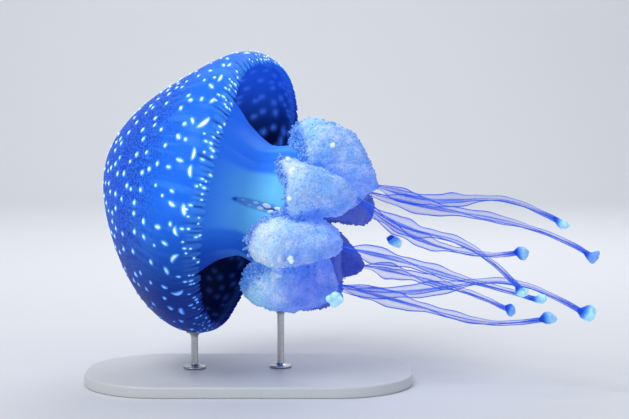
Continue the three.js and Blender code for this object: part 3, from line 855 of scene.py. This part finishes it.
def skin_rows(turn):
    """Shares and depths of the wall's rows, from the apex down the outer face, round the edge of the
    lappets and up the inner face. Returns them with the counts of outer rows and of edge rows."""
    flat = np.ones(len(turn))
    reach = lappet_reach(turn)
    root = LAPPET_ROOT - 0.035
    steady = np.concatenate([np.linspace(0.004, CROWN_EDGE, 34), np.linspace(CROWN_EDGE, root, 27)[1:]])
    outer = np.vstack([steady[:, None] * flat, mix(root, reach, np.linspace(0, 1, 16)[1:, None])])
    outer_depth = outer_relief(outer, turn)

    thick = wall_thickness(reach) * (0.7 - 0.35 * np.abs(lappet_phase(turn)[0]) ** 2)
    arc = np.linspace(0, math.pi, 6)[1:-1, None]
    edge = reach + np.sin(arc) * thick / 2 / ARC_LENGTH
    edge_depth = mix(outer_depth[-1], thick, (1 - np.cos(arc)) / 2)

    inner = np.vstack([mix(reach, root, np.linspace(0, 1, 9)[:, None]),
                       np.linspace(root, CROWN_EDGE, 20)[1:, None] * flat])
    inner_depth = np.minimum(wall_thickness(inner), mix(thick, WALL_AT_CROWN, (1 - inner) * 30))
    rows = np.vstack([outer, edge, inner]), np.vstack([outer_depth, edge_depth, inner_depth])
    return *rows, len(outer), len(edge)


def column_rows(start):
    """Radii and heights of the rows that go on from the wall's inner face: round the floor of the
    groove, down the column's side, and in to the axis inside the frills."""
    side = spline(COLUMN_SIDE, np.linspace(0.06, 1, 46))
    hem = spline(COLUMN_HEM, np.linspace(0, 1, 12))[1:]
    bend = np.linspace(0, 1, 7)[1:-1, None]
    groove = (1 - bend) ** 2 * start + 2 * (1 - bend) * bend * GROOVE_FLOOR + bend ** 2 * side[0]
    return np.vstack([groove, side, hem])


def bell_skin(marks):
    """One closed skin: the wall's rows and then the column's, each a ring of points at equal turns,
    settled into the living shape. Its fields say what lies where: pits, painted glow, painted shade in the
    furrows and so on."""
    columns = LAPPETS * 8
    turn = equal_turns(columns)
    shares, depths, n_outer, n_edge = skin_rows(turn)
    radius, height = in_wall(drawn_up(shares, turn), depths)
    below = column_rows(np.array([radius[-1, 0], height[-1, 0]]))
    below_radius, bright, slit = column_ribs(turn[None, :], below[:, 1:], below[:, :1])
    wall = len(shares)
    radius = np.vstack([radius, below_radius])
    height = np.vstack([height, below[:, 1:] * np.ones(columns)])
    grid = on_body(turn[None, :], *settle(turn[None, :], radius, height))
    points, faces = closed_tube(grid)

    names = ("margin", "pits", "furrow", "halo", "inside", "column", "rib", "slit", "low")
    fields = {name: np.zeros(grid.shape[:2]) for name in names}
    outer_face, edge_and_inner, stalk = slice(n_outer), slice(n_outer, wall), slice(wall, None)
    inner_face = slice(n_outer + n_edge, wall)
    outer, inner, z = shares[outer_face], shares[inner_face], grid[..., 2]

    fields["margin"][:wall] = smoothstep(shares, 0.42, 0.80)
    fields["pits"][outer_face] = 1 - smoothstep(outer, 0.60, 0.84)
    # painted shade: the furrows between the lappets are darker
    fields["furrow"][:wall] = 0.9 * lappet_furrows(shares, turn[None, :])
    fields["inside"][edge_and_inner] = smoothstep(np.arange(wall - n_outer), 0, n_edge + 3)[:, None]
    fields["inside"][stalk] = 1
    fields["column"][stalk] = smoothstep(-below[:, 1:], -48, -30)
    # painted light on the ribs' broad faces, and painted shade in the slits
    fields["rib"][stalk] = bright
    fields["slit"][stalk] = slit

    # painted glow: the outer face is lighter round its marks and in faint streaks towards the margin, and a
    # painted highlight runs along each finger of the lappets
    places = np.stack([np.cos(turn) * 22 + outer * 0, np.sin(turn) * 22 + outer * 0, outer * 5], -1)
    streaks = smoothstep(clouds(places * 1.6, 1.0, 31), 0.45, 0.8) * smoothstep(outer, 0.55, 0.75)
    lappet_highlight = (1 - (2 * np.abs(lappet_phase(turn)[0]) - 1) ** 2) * smoothstep(outer, 0.90, 0.94)
    spotted = 0.6 * painted_spot_glow(outer, turn[None, :], marks, 0.5)
    fields["halo"][outer_face] = np.maximum.reduce([spotted, 0.3 * streaks, 0.5 * lappet_highlight])

    # painted glow: the inner face shows the same marks as a glow through the jelly, and a lighter rim, both
    # fainter lower down as painted shade
    seen = mix(0.25, 1, smoothstep(z[inner_face], 90, 150))
    through = 0.9 * painted_spot_glow(inner, turn[None, :], marks[marks[:, 0] > 0.4], 1.7) * seen
    fields["halo"][inner_face] = np.maximum(through, 0.5 * smoothstep(inner, 0.90, 0.98) * seen)

    # painted shade: each part is darker lower down, the outer face below its middle, the hollow all but its
    # top and the column towards its foot
    fields["low"][outer_face] = 0.92 * (1 - smoothstep(z[outer_face], 60, 140))
    fields["low"][edge_and_inner] = 1 - smoothstep(z[edge_and_inner], 166, 218)
    fields["low"][stalk] = mix(1 - smoothstep(z[stalk], 86, 118), 1, 1 - fields["column"][stalk])
    ends = {key: [values[0].mean(), values[-1].mean()] for key, values in fields.items()}
    fields = {key: np.append(values.ravel(), ends[key]) for key, values in fields.items()}
    return new_mesh("bell_skin", points, outward(points, faces), fields)


def loose_frill(points, fold, cream):
    """The frills' fields for loose knobs, which get no lilac, no painted shade of the far lobes and no hem.
    """
    plain = dict.fromkeys(("lilac", "dull", "hem"), np.zeros(len(points)))
    return {"fold": fold, "cream": cream} | plain


def slit_beads_mesh():
    """Pale beads of frill that fill each slit: knobs drawn out along it, alternating from side to
    side, largest two thirds of the way down."""
    steps = np.arange(SLIT_BEADS)
    down = steps / (SLIT_BEADS - 1)
    heights = mix(SLIT_HEAD - 7, SLIT_FOOT + 3, down ** 0.9)
    sizes, spacing = (np.interp(down, [0, 0.7, 1], values) for values in ([1.1, 1.9, 1.7], [2.2, 3.8, 3.0]))
    places, directions, widths = [], [], []
    for quarter in range(4):
        radius = np.interp(-heights, [6, 17, 31, 48], [41.5, 42, 47, 45]) * 0.95 - 0.5
        aside = (steps % 2 - 0.5) * spacing
        turn = quarter * TURN / 4 + (aside + RANDOM.uniform(-0.2, 0.2, SLIT_BEADS)) / radius
        place = on_body(turn, radius, heights)
        places.append(place)
        directions.append(on_body(turn, radius, heights - 1) - place)
        widths.append(sizes * RANDOM.uniform(0.8, 1.15, SLIT_BEADS))
    count = 4 * SLIT_BEADS
    points, faces, _ = plant_knobs(
        np.vstack(places), np.vstack(directions), np.concatenate(widths), np.full(count, 2.0))
    # painted shade darkens the upper beads, near the slit's head; the lower beads are pale
    pale = np.repeat(np.tile(smoothstep(steps, 0, 6), 4), len(points) // count)
    fields = loose_frill(points, 0.5 * (1 - pale), 0.9 * pale)
    return new_mesh("slit_beads", points, faces, fields)


# ================================================================ frilled lobes

def lobe_grid(k, rows, columns):
    """One lobe as closed rings. A ring is a rounded square in two shares, across the octant and
    outward, bent to lie between the lobe's inner and outer outlines. Both outlines hang from the
    height where the frills begin, so the upper edge follows the lobe's list of heights."""
    lobe = LOBES[k]
    reach = lobe["reach"] - 1.5
    tip_turn, tip_radius, tip_height = lobe["tip"]
    v = np.linspace(0, 1, rows)[:, None]
    w = equal_turns(columns)
    ends = [np.clip(np.minimum(v / 0.07, (1 - v) / length), 0, 1) for length in (0.12, 0.38)]
    closing, tapering = [np.sqrt(np.clip(1 - (1 - end) ** 2, 1e-4, 1)) for end in ends]
    across = np.sign(np.cos(w)) * np.abs(np.cos(w)) ** 0.5 * tapering
    out = 0.5 + 0.5 * np.sign(np.sin(w)) * np.abs(np.sin(w)) ** 0.5 * closing
    top = np.interp(across, np.linspace(-1, 1, 5), lobe["top"])
    # each row: radius, height below the top and share of the top's height
    outside = spline([
        (48, -1.5, 1), (reach - 5, -5.6, 0.91), (reach, -29.8, 0.52), (reach - 4, -61, 0),
        (mix(reach - 4, tip_radius, 0.42), -77, 0), (tip_radius + 3, tip_height + 1, 0),
    ], v[:, 0])
    core = 4 + lobe.get("hollow", 0)
    inside = polyline([
        (43, -2, 1), (44, -13, 0.8), (25, -24, 0.5), (4, -34, 0.2), (core, -58, 0),
        (mix(core, tip_radius, 0.4), -74, 0), (tip_radius - 3, tip_height + 4, 0),
    ], v[:, 0])
    pinch = 0.25 + 0.5 * (1 - v) ** 2
    share = out * (1 - pinch * np.abs(across) ** 3)
    radius = mix(inside[:, :1], outside[:, :1], share)
    height = mix(inside[:, 1:2] + inside[:, 2:] * top, outside[:, 1:2] + outside[:, 2:] * top, share)
    gathered = smoothstep(v, 0.4, 1)
    middle = mix((k + 0.5) * TURN / ARMS, math.radians(tip_turn + lobe.get("droop", 0)), gathered)
    half = TURN / ARMS / 2 * (1 - 0.42 * gathered) * 1.02
    whole = np.ones(radius.shape)
    return on_body(middle + across * half, radius, height), v * whole, across, out * whole


def knob_template():
    """A small bumpy knob of unit size: three rings of seven points that bulge and close over, with
    a point on top and one below."""
    sides = 7
    angle = equal_turns(sides)
    points = [[0, 0, 1.0]]
    for radius, height in ((0.62, -0.55), (1.0, 0.1), (0.66, 0.75)):
        bulge = radius * (1 + 0.1 * np.cos(3 * angle))
        points.extend(np.stack([bulge * np.cos(angle), bulge * np.sin(angle), angle * 0 + height], -1))
    points.append([0, 0, -0.9])
    points = np.array(points, float)
    under = fan(len(points) - 1, np.arange(sides) + 1, False)
    top = fan(0, np.arange(sides) + 1 + 2 * sides, True)
    return points, outward(points, [ring_quads(3, sides, 1), np.vstack([under, top])])


def plant_knobs(places, directions, sizes, stretch):
    """Copies of the knob, one per place, each turned to its own direction, sized and drawn out."""
    knob, faces = knob_template()
    count = len(places)
    up = unit(directions)
    helper = np.where(np.abs(up[:, 2:]) < 0.8, [[0.0, 0.0, 1.0]], [[1.0, 0.0, 0.0]])
    side = unit(np.cross(helper, up))
    other = np.cross(up, side)
    spin = RANDOM.uniform(0, TURN, count)[:, None]
    first = side * np.cos(spin) + other * np.sin(spin)
    second = other * np.cos(spin) - side * np.sin(spin)
    flat = knob[:, 0, None] * first[:, None] + knob[:, 1, None] * second[:, None]
    tall = stretch[:, None, None] * knob[:, 2, None] * up[:, None]
    points = places[:, None] + sizes[:, None, None] * (flat + tall)
    return points.reshape(-1, 3), copied(faces, count, len(knob)), np.tile(np.clip(knob[:, 2], 0, 1), count)


def grow_tufts(roots, directions, steps):
    """Lacy tufts: from each root a winding chain of round knobs, each a short step on from the last
    and a little smaller. Returns places, directions and sizes."""
    place, heading = roots, directions
    places, headings, sizes = [], [], []
    for step in range(steps):
        size = mix(1.25, 0.8, step / steps) * RANDOM.uniform(0.75, 1.2, len(roots))
        places.append(place)
        headings.append(heading)
        sizes.append(size)
        heading = unit(heading + RANDOM.normal(0, 0.8, heading.shape))
        place = place + heading * size[:, None] * 1.25
    return np.vstack(places), np.vstack(headings), np.concatenate(sizes)


def frill_mesh(k):
    """A lobe swollen by three sizes of knobs like a cauliflower. Its upper edge and sides break up
    into separate grains and lacy tufts with clear gaps between, and its middle is milky."""
    rows, columns = 200, 220
    grid, v, across, out = lobe_grid(k, rows, columns)
    shrink = np.sin(math.pi * np.clip(v, 0.02, 0.98)) ** 0.4
    big, middle, small = (knobs(grid, size, seed + k) for size, seed in ((12.0, 3), (5.2, 13), (2.2, 23)))
    sides = smoothstep(np.abs(across), 0.75, 1.0) * (v < 0.75)
    border = np.maximum(1 - smoothstep(v, 0.05, 0.26), 0.3 * sides)
    swell = 3.0 * big + mix(1.3, 1.8, border) * middle + mix(0.7, 1.0, border) * small - 3.2
    normal = grid_normals(grid)
    grid = grid + normal * (swell * shrink)[..., None]
    points, faces = closed_tube(grid)
    faces = outward(points, faces)
    # painted shade in the creases between knobs, and the clear blue of the hem along the border
    gaps = 0.75 * smoothstep(-small, -0.72, -0.42) + 0.5 * smoothstep(-middle, -0.66, -0.36)
    fold = np.clip(gaps * mix(0.2, 1.0, border) + 0.6 * border + 0.2 * smoothstep(-big, -0.6, -0.3), 0, 0.95)
    fold = np.append(fold.ravel(), [0.3, 0.3])

    flat, normal = grid.reshape(-1, 3), grid_normals(grid).reshape(-1, 3)
    row_step = np.linalg.norm(np.gradient(grid, axis=0), axis=-1)
    column_step = np.linalg.norm(np.roll(grid, -1, axis=1) - grid, axis=-1)
    area = row_step * column_step * (out > 0.2)
    chance = (area * (0.3 + 1.4 * border) * (0.2 + small)).ravel()
    pick = RANDOM.choice(len(flat), FRILL_GRAINS, replace=False, p=chance / chance.sum())
    sizes = RANDOM.uniform(0.55, 0.95, len(pick))
    knob_points, knob_faces, crest = plant_knobs(flat[pick], normal[pick], sizes, np.ones(len(pick)))

    upper = (v < 0.16) & (out > 0.5)
    edge = (area * np.where(upper, 1, 0.2 * (np.abs(across) > 0.85) * (v < 0.6) * (out > 0.5))).ravel()
    roots = RANDOM.choice(len(flat), FRILL_TUFTS, replace=False, p=edge / edge.sum())
    away = unit(normal[roots] + 0.8 * AXES[2] + RANDOM.normal(0, 0.5, (len(roots), 3)))
    tufts = grow_tufts(flat[roots], away, TUFT_KNOBS)
    tuft_points, tuft_faces, tuft_crest = plant_knobs(*tufts, np.ones(len(tufts[0])))

    knob_start = len(points)
    tuft_start = knob_start + len(knob_points)
    groups = zip(faces, knob_faces, tuft_faces)
    faces = [np.vstack([a, b + knob_start, c + tuft_start]) for a, b, c in groups]
    points = np.vstack([points, knob_points, tuft_points])
    down = -((points - BELL_CENTRE) @ AXES[2])
    thin = smoothstep(down, 34, 66)
    # painted shade: the lavender of the thin ends is deeper lower down
    low = 1 - smoothstep(points[:, 2], 70, 116)
    # painted highlights: small scattered whiter patches
    painted_glints = smoothstep(clouds(points, 4.5, 51), 0.76, 0.9)
    hem = np.repeat(border.ravel()[pick], len(knob_points) // len(pick))
    hem = np.concatenate([border.ravel(), [0, 0], hem, np.ones(len(tuft_points))])
    fields = {
        # painted shade: the bases of the grains and tufts are darker
        "fold": np.concatenate([fold, 0.35 * (1 - crest), 0.6 * (1 - tuft_crest)]),
        "lilac": np.clip(thin * mix(0.45, 1.0, low) + 0.35 * smoothstep(down, 66, 96), 0, 1),
        # painted shade on the inner sides of the far lobes
        "dull": INNER_SHADE_BY_LOBE[k] * (1 - smoothstep(points[:, 1], 24, 56)),
        "hem": 0.45 * hem,
        # painted highlight: small patches and the side facing the front are whiter
        "cream": (0.8 * painted_glints + 0.42 * smoothstep(-points[:, 1], 36, 70)) * (1 - thin),
    }
    return new_mesh(f"frill_{k + 1}_skin", points, faces, fields)


def nodules_mesh():
    """Small bright nodules: two tight bunches of three knobs on each lobe, anywhere on its outer face
    between the border of tufts and the end where it gathers."""
    places, ways = [], []
    for k in range(ARMS):
        grid, v, _, out = lobe_grid(k, 90, 90)
        face = np.flatnonzero((v > 0.3) & (v < 0.8) & (out > 0.7))
        pick = RANDOM.choice(face, 2, replace=False)
        places.append(grid.reshape(-1, 3)[pick])
        ways.append(grid_normals(grid).reshape(-1, 3)[pick])
    ways = np.repeat(np.vstack(ways), 3, axis=0)
    middles = np.repeat(np.vstack(places), 3, axis=0) + ways
    aside = RANDOM.normal(0, 0.6, middles.shape)
    sizes = RANDOM.uniform(1.5, 2.2, len(middles))
    points, faces, crest = plant_knobs(middles + aside, ways, sizes, np.ones(len(middles)))
    # pale nodules, whiter on top as a painted highlight and darker at their bases as painted shade
    fields = loose_frill(points, 0.3 * (1 - crest), 0.4 + 0.6 * crest)
    return new_mesh("frill_nodules", points, faces, fields)


# ================================================================ filaments and clubs

def trail(lobe):
    """Start, end and route of a filament: a straight way with a lift in its middle and an S-shaped
    sway. The route takes t from 0 to 1, and a little less than 0 reaches back into the lobe."""
    tip_turn, tip_radius, tip_height = lobe["tip"]
    start = on_body(math.radians(tip_turn + lobe.get("droop", 0)), tip_radius, tip_height)
    end = BELL_CENTRE + np.array(lobe["end"], float)
    start = start + 4 * (end - start) / np.linalg.norm(end - start)

    def route(t):
        t = np.asarray(t, float)[..., None]
        rise = lobe["lift"] * 4 * t * (1 - t) + lobe["sway"] * np.sin(TURN * t)
        return mix(start, end, t) + rise * np.array([0.0, 0.0, 1.0])
    return route


def across_route(route, t):
    """Unit vectors along a route and two across it, at each t."""
    along = unit(route(t + 1e-3) - route(t - 1e-3))
    side = unit(np.cross(np.array([0.0, 1.0, 0.0]), along))
    return along, side, np.cross(along, side)


def filament_mesh(k):
    """Three thin wings round a core, carried along the route. Each wing is thickest at its root and
    has a denser edge; its width and direction ripple along the way, and its end becomes a stem."""
    lobe = LOBES[k]
    route = trail(lobe)
    t = np.linspace(-0.07, 1.02, 190)
    along, side, other = across_route(route, t)
    width = mix(FILAMENT_WIDTH, FILAMENT_END_WIDTH, smoothstep(t, 0.1, 0.85))
    width = width * mix(0.3, 1.0, smoothstep(t, -0.07, 0.12)) / 2
    reach = np.array([0.10, 0.22, 0.55, 0.86, 0.95, 1.0])
    thick = np.array([1.1, 0.6, 0.5, 0.5, 0.75, 0.3]) / 2
    u = np.concatenate([reach, reach[::-1]])
    flat = np.concatenate([-thick, thick[::-1]])
    dense = smoothstep(u, 0.84, 0.93) + 0.8 * smoothstep(-u, -0.24, -0.12)
    stem = smoothstep(t, 0.86, 1.0)[:, None]
    points = []
    edges = []
    for wing in range(3):
        phase = 1.7 * wing + 2.3 * k
        ripple = 1 + 0.2 * np.sin(t * 17 + phase) + 0.08 * np.sin(t * 43 + 2 * phase)
        angle = wing * TURN / 3 + 1.5 * t + 0.3 * np.sin(t * 12 + phase)
        outwards = side * np.cos(angle)[:, None] + other * np.sin(angle)[:, None]
        sideways = np.cross(along, outwards)
        span = (width * ripple)[:, None, None]
        points.append(route(t)[:, None, :] + span * u[None, :, None] * outwards[:, None, :]
                      + flat[None, :, None] * sideways[:, None, :])
        edges.append(np.maximum(dense[None, :], 0.7 * stem))
    grid = np.concatenate(points, axis=1)
    points, faces = closed_tube(grid)
    fields = {"edge": np.append(np.concatenate(edges, axis=1).ravel(), [0, 0])}
    return new_mesh(f"filament_{k + 1}_skin", points, outward(points, faces), fields)


def club_grid(root, along, club, seed):
    """A bulb: rings whose radius follows the club's swell from stem to cap, squeezed one way and
    bulged into lobes towards the cap, grained with small knobs."""
    rows, columns = 46, 56
    width = club["width"]
    t = np.linspace(-0.12, 1, rows)
    swell = spline([(v,) for v in (*club["swell"], 0.04)], np.linspace(0, 1, rows))[:, 0]
    swell = swell * np.sqrt(np.clip((1 - t) / 0.12, 0.003, 1))
    angle = equal_turns(columns)
    side = np.cross(np.array([0.0, 1.0, 0.0]), along)
    side /= np.linalg.norm(side)
    other = np.cross(along, side)
    bulge = smoothstep(t, 0.15, 0.7)[:, None] * np.cos(club["count"] * (angle[None, :] + seed))
    lobes = 1 + club["deep"] * bulge
    radius = (swell[:, None] * lobes * width / 2)[..., None]
    lean = 0.12 * width * np.sin(t * 3 + seed)[:, None, None] * side
    grid = (root + (t * club["long"] * width)[:, None, None] * along + lean
            + radius * (np.cos(angle)[:, None] * side * club["flat"] + np.sin(angle)[:, None] * other))
    grain = knobs(grid, club.get("knob", 2.6), seed) * 0.8 + knobs(grid, 1.2, seed + 1) * 0.2
    cap = smoothstep(t, 0.25, 0.6)[:, None]
    grid = grid + grid_normals(grid) * ((grain - 0.5) * club.get("knob", 2.6) * 0.4 * cap)[..., None]
    stem = (1 - smoothstep(t, 0.08, club.get("clear", 0.42)))[:, None] * np.ones(columns)
    return grid, grain * cap, stem


def club_mesh(name, root, along, club, seed):
    """The bulb closed at both ends, with its grain, its clear stem and its shade as fields."""
    grid, crest, stem = club_grid(np.asarray(root, float), along, club, seed)
    points, faces = closed_tube(grid)
    fields = {
        "crest": np.append(crest.ravel(), [0.3, 0.8]),
        "stem": np.append(stem.ravel(), [1, 0]),
        "shade": np.full(len(points), club["shade"]),
    }
    return new_mesh(name, points, outward(points, faces), fields)


# ================================================================ stand

def turned_mesh(name, profile, centre, columns=96):
    """A profile of radius and height turned about an upright axis, closed at both ends."""
    profile = np.array(profile, float)
    angle = equal_turns(columns)
    grid = np.stack([
        centre[0] + profile[:, :1] * np.cos(angle),
        centre[1] + profile[:, :1] * np.sin(angle),
        profile[:, 1:] * np.ones(columns),
    ], -1)
    points, faces = closed_tube(grid)
    return new_mesh(name, points, outward(points, faces))


def rod_mesh(node):
    """A rod with a coned foot and a small cup, sized by the box of its solid."""
    low, high = (np.array(corner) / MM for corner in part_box(node))
    middle = (low + high) / 2
    foot, shaft, cup = (high[0] - low[0]) / 2, 2.5, 6.0
    bottom, top = low[2], high[2]
    fillet = np.linspace(0, math.pi / 2, 8)
    flare = [(shaft + (cup - shaft) * (1 - math.cos(a)), top - 4.6 + 3.6 * math.sin(a)) for a in fillet]
    root = [(shaft + (foot - 3.1) * (1 - math.sin(a)), bottom + 1.4 + 2.1 * (1 - math.cos(a)))
            for a in fillet]
    profile = [(foot - 0.3, bottom), (foot, bottom + 0.3), (foot, bottom + 0.9), (foot - 0.4, bottom + 1.3)]
    profile += root + [(shaft, top - 5.5)] + flare
    profile += [(cup, top - 0.3), (cup - 0.3, top), (5.2, top - 0.2), (3.5, top - 0.7), (1.0, top - 0.9)]
    return turned_mesh(f"{node}_finish", profile, middle)


def base_mesh():
    """A plate with round ends: a rounded rectangle whose corner arcs grow or shrink with the
    offset of each row of its edge profile."""
    low, high = (np.array(corner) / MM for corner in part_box("stand_base"))
    corner, ease = 56.0, 1.5
    half = (high - low)[:2] / 2
    middle = (high + low)[:2] / 2
    quarter = np.linspace(0, math.pi / 2, 25)
    angle = np.concatenate([quarter + i * math.pi / 2 for i in range(4)])
    signs = np.repeat([(1, 1), (-1, 1), (-1, -1), (1, -1)], 25, axis=0)
    centres = middle + signs * (half - corner)
    turn = np.linspace(0, math.pi / 2, 7)
    profile = [(-6, low[2]), (-ease, low[2])]
    profile += [(-ease + ease * math.sin(a), low[2] + ease - ease * math.cos(a)) for a in turn]
    profile += [(-ease + ease * math.cos(a), high[2] - ease + ease * math.sin(a)) for a in turn]
    profile += [(-ease - 0.4, high[2]), (-8, high[2]), (-40, high[2])]
    rows = [np.column_stack([centres + (corner + offset) * np.stack([np.cos(angle), np.sin(angle)], -1),
                             np.full(len(angle), z)]) for offset, z in profile]
    points, faces = closed_tube(np.array(rows))
    return new_mesh("stand_base_finish", points, outward(points, faces))


# ================================================================ putting it together

def build():
    """Sets the studio, then adds every piece with the solids that it stands for."""
    set_camera()
    set_stage()
    set_light()

    skin = bell_jelly()
    frill = frill_jelly()
    thread = filament_jelly()
    club = club_jelly()
    steel = brushed_steel()

    marks = scatter_spots()
    body_nodes = ["bell_crown", "oral_disc", *(f"bell_wall_{i}" for i in range(1, 5))]
    body_nodes += [f"{part}_{i}" for part in ("lappets", "arm") for i in range(1, ARMS + 1)]
    add_piece("bell_and_column_skin", bell_skin(marks), skin, body_nodes)
    add_piece("bell_spots", spots_mesh(marks), spot_jelly())
    add_piece("slit_beads", slit_beads_mesh(), frill)

    for k in range(ARMS):
        number = k + 1
        add_piece(f"frill_{number}_skin", frill_mesh(k), frill, [f"frill_{number}"])
        add_piece(f"filament_{number}_skin", filament_mesh(k), thread,
                  [f"filament_{number}_upper", f"filament_{number}_lower"])
        route = trail(LOBES[k])
        along = across_route(route, np.array([1.0]))[0][0]
        mesh = club_mesh(f"club_{number}_skin", route(1.0), along, CLUBS[k], k)
        add_piece(f"club_{number}_skin", mesh, club, [f"club_{number}"])

    add_piece("frill_nodules", nodules_mesh(), frill)

    for seed, (node, shape) in enumerate(SHORT_CLUBS.items()):
        start, end = (BELL_CENTRE + np.array(shape[key], float) for key in ("start", "end"))
        along = (end - start) / np.linalg.norm(end - start)
        root = end - along * shape["width"] * shape["long"]
        mesh = club_mesh(f"{node}_skin", root, along, shape, 40 + seed)
        add_piece(f"{node}_skin", mesh, club, [node])

    add_piece("stand_base_finish", base_mesh(), satin_paint(), ["stand_base"])
    for node in ("stand_rod_bell", "stand_rod_arms"):
        add_piece(f"{node}_finish", rod_mesh(node), steel, [node])


build()
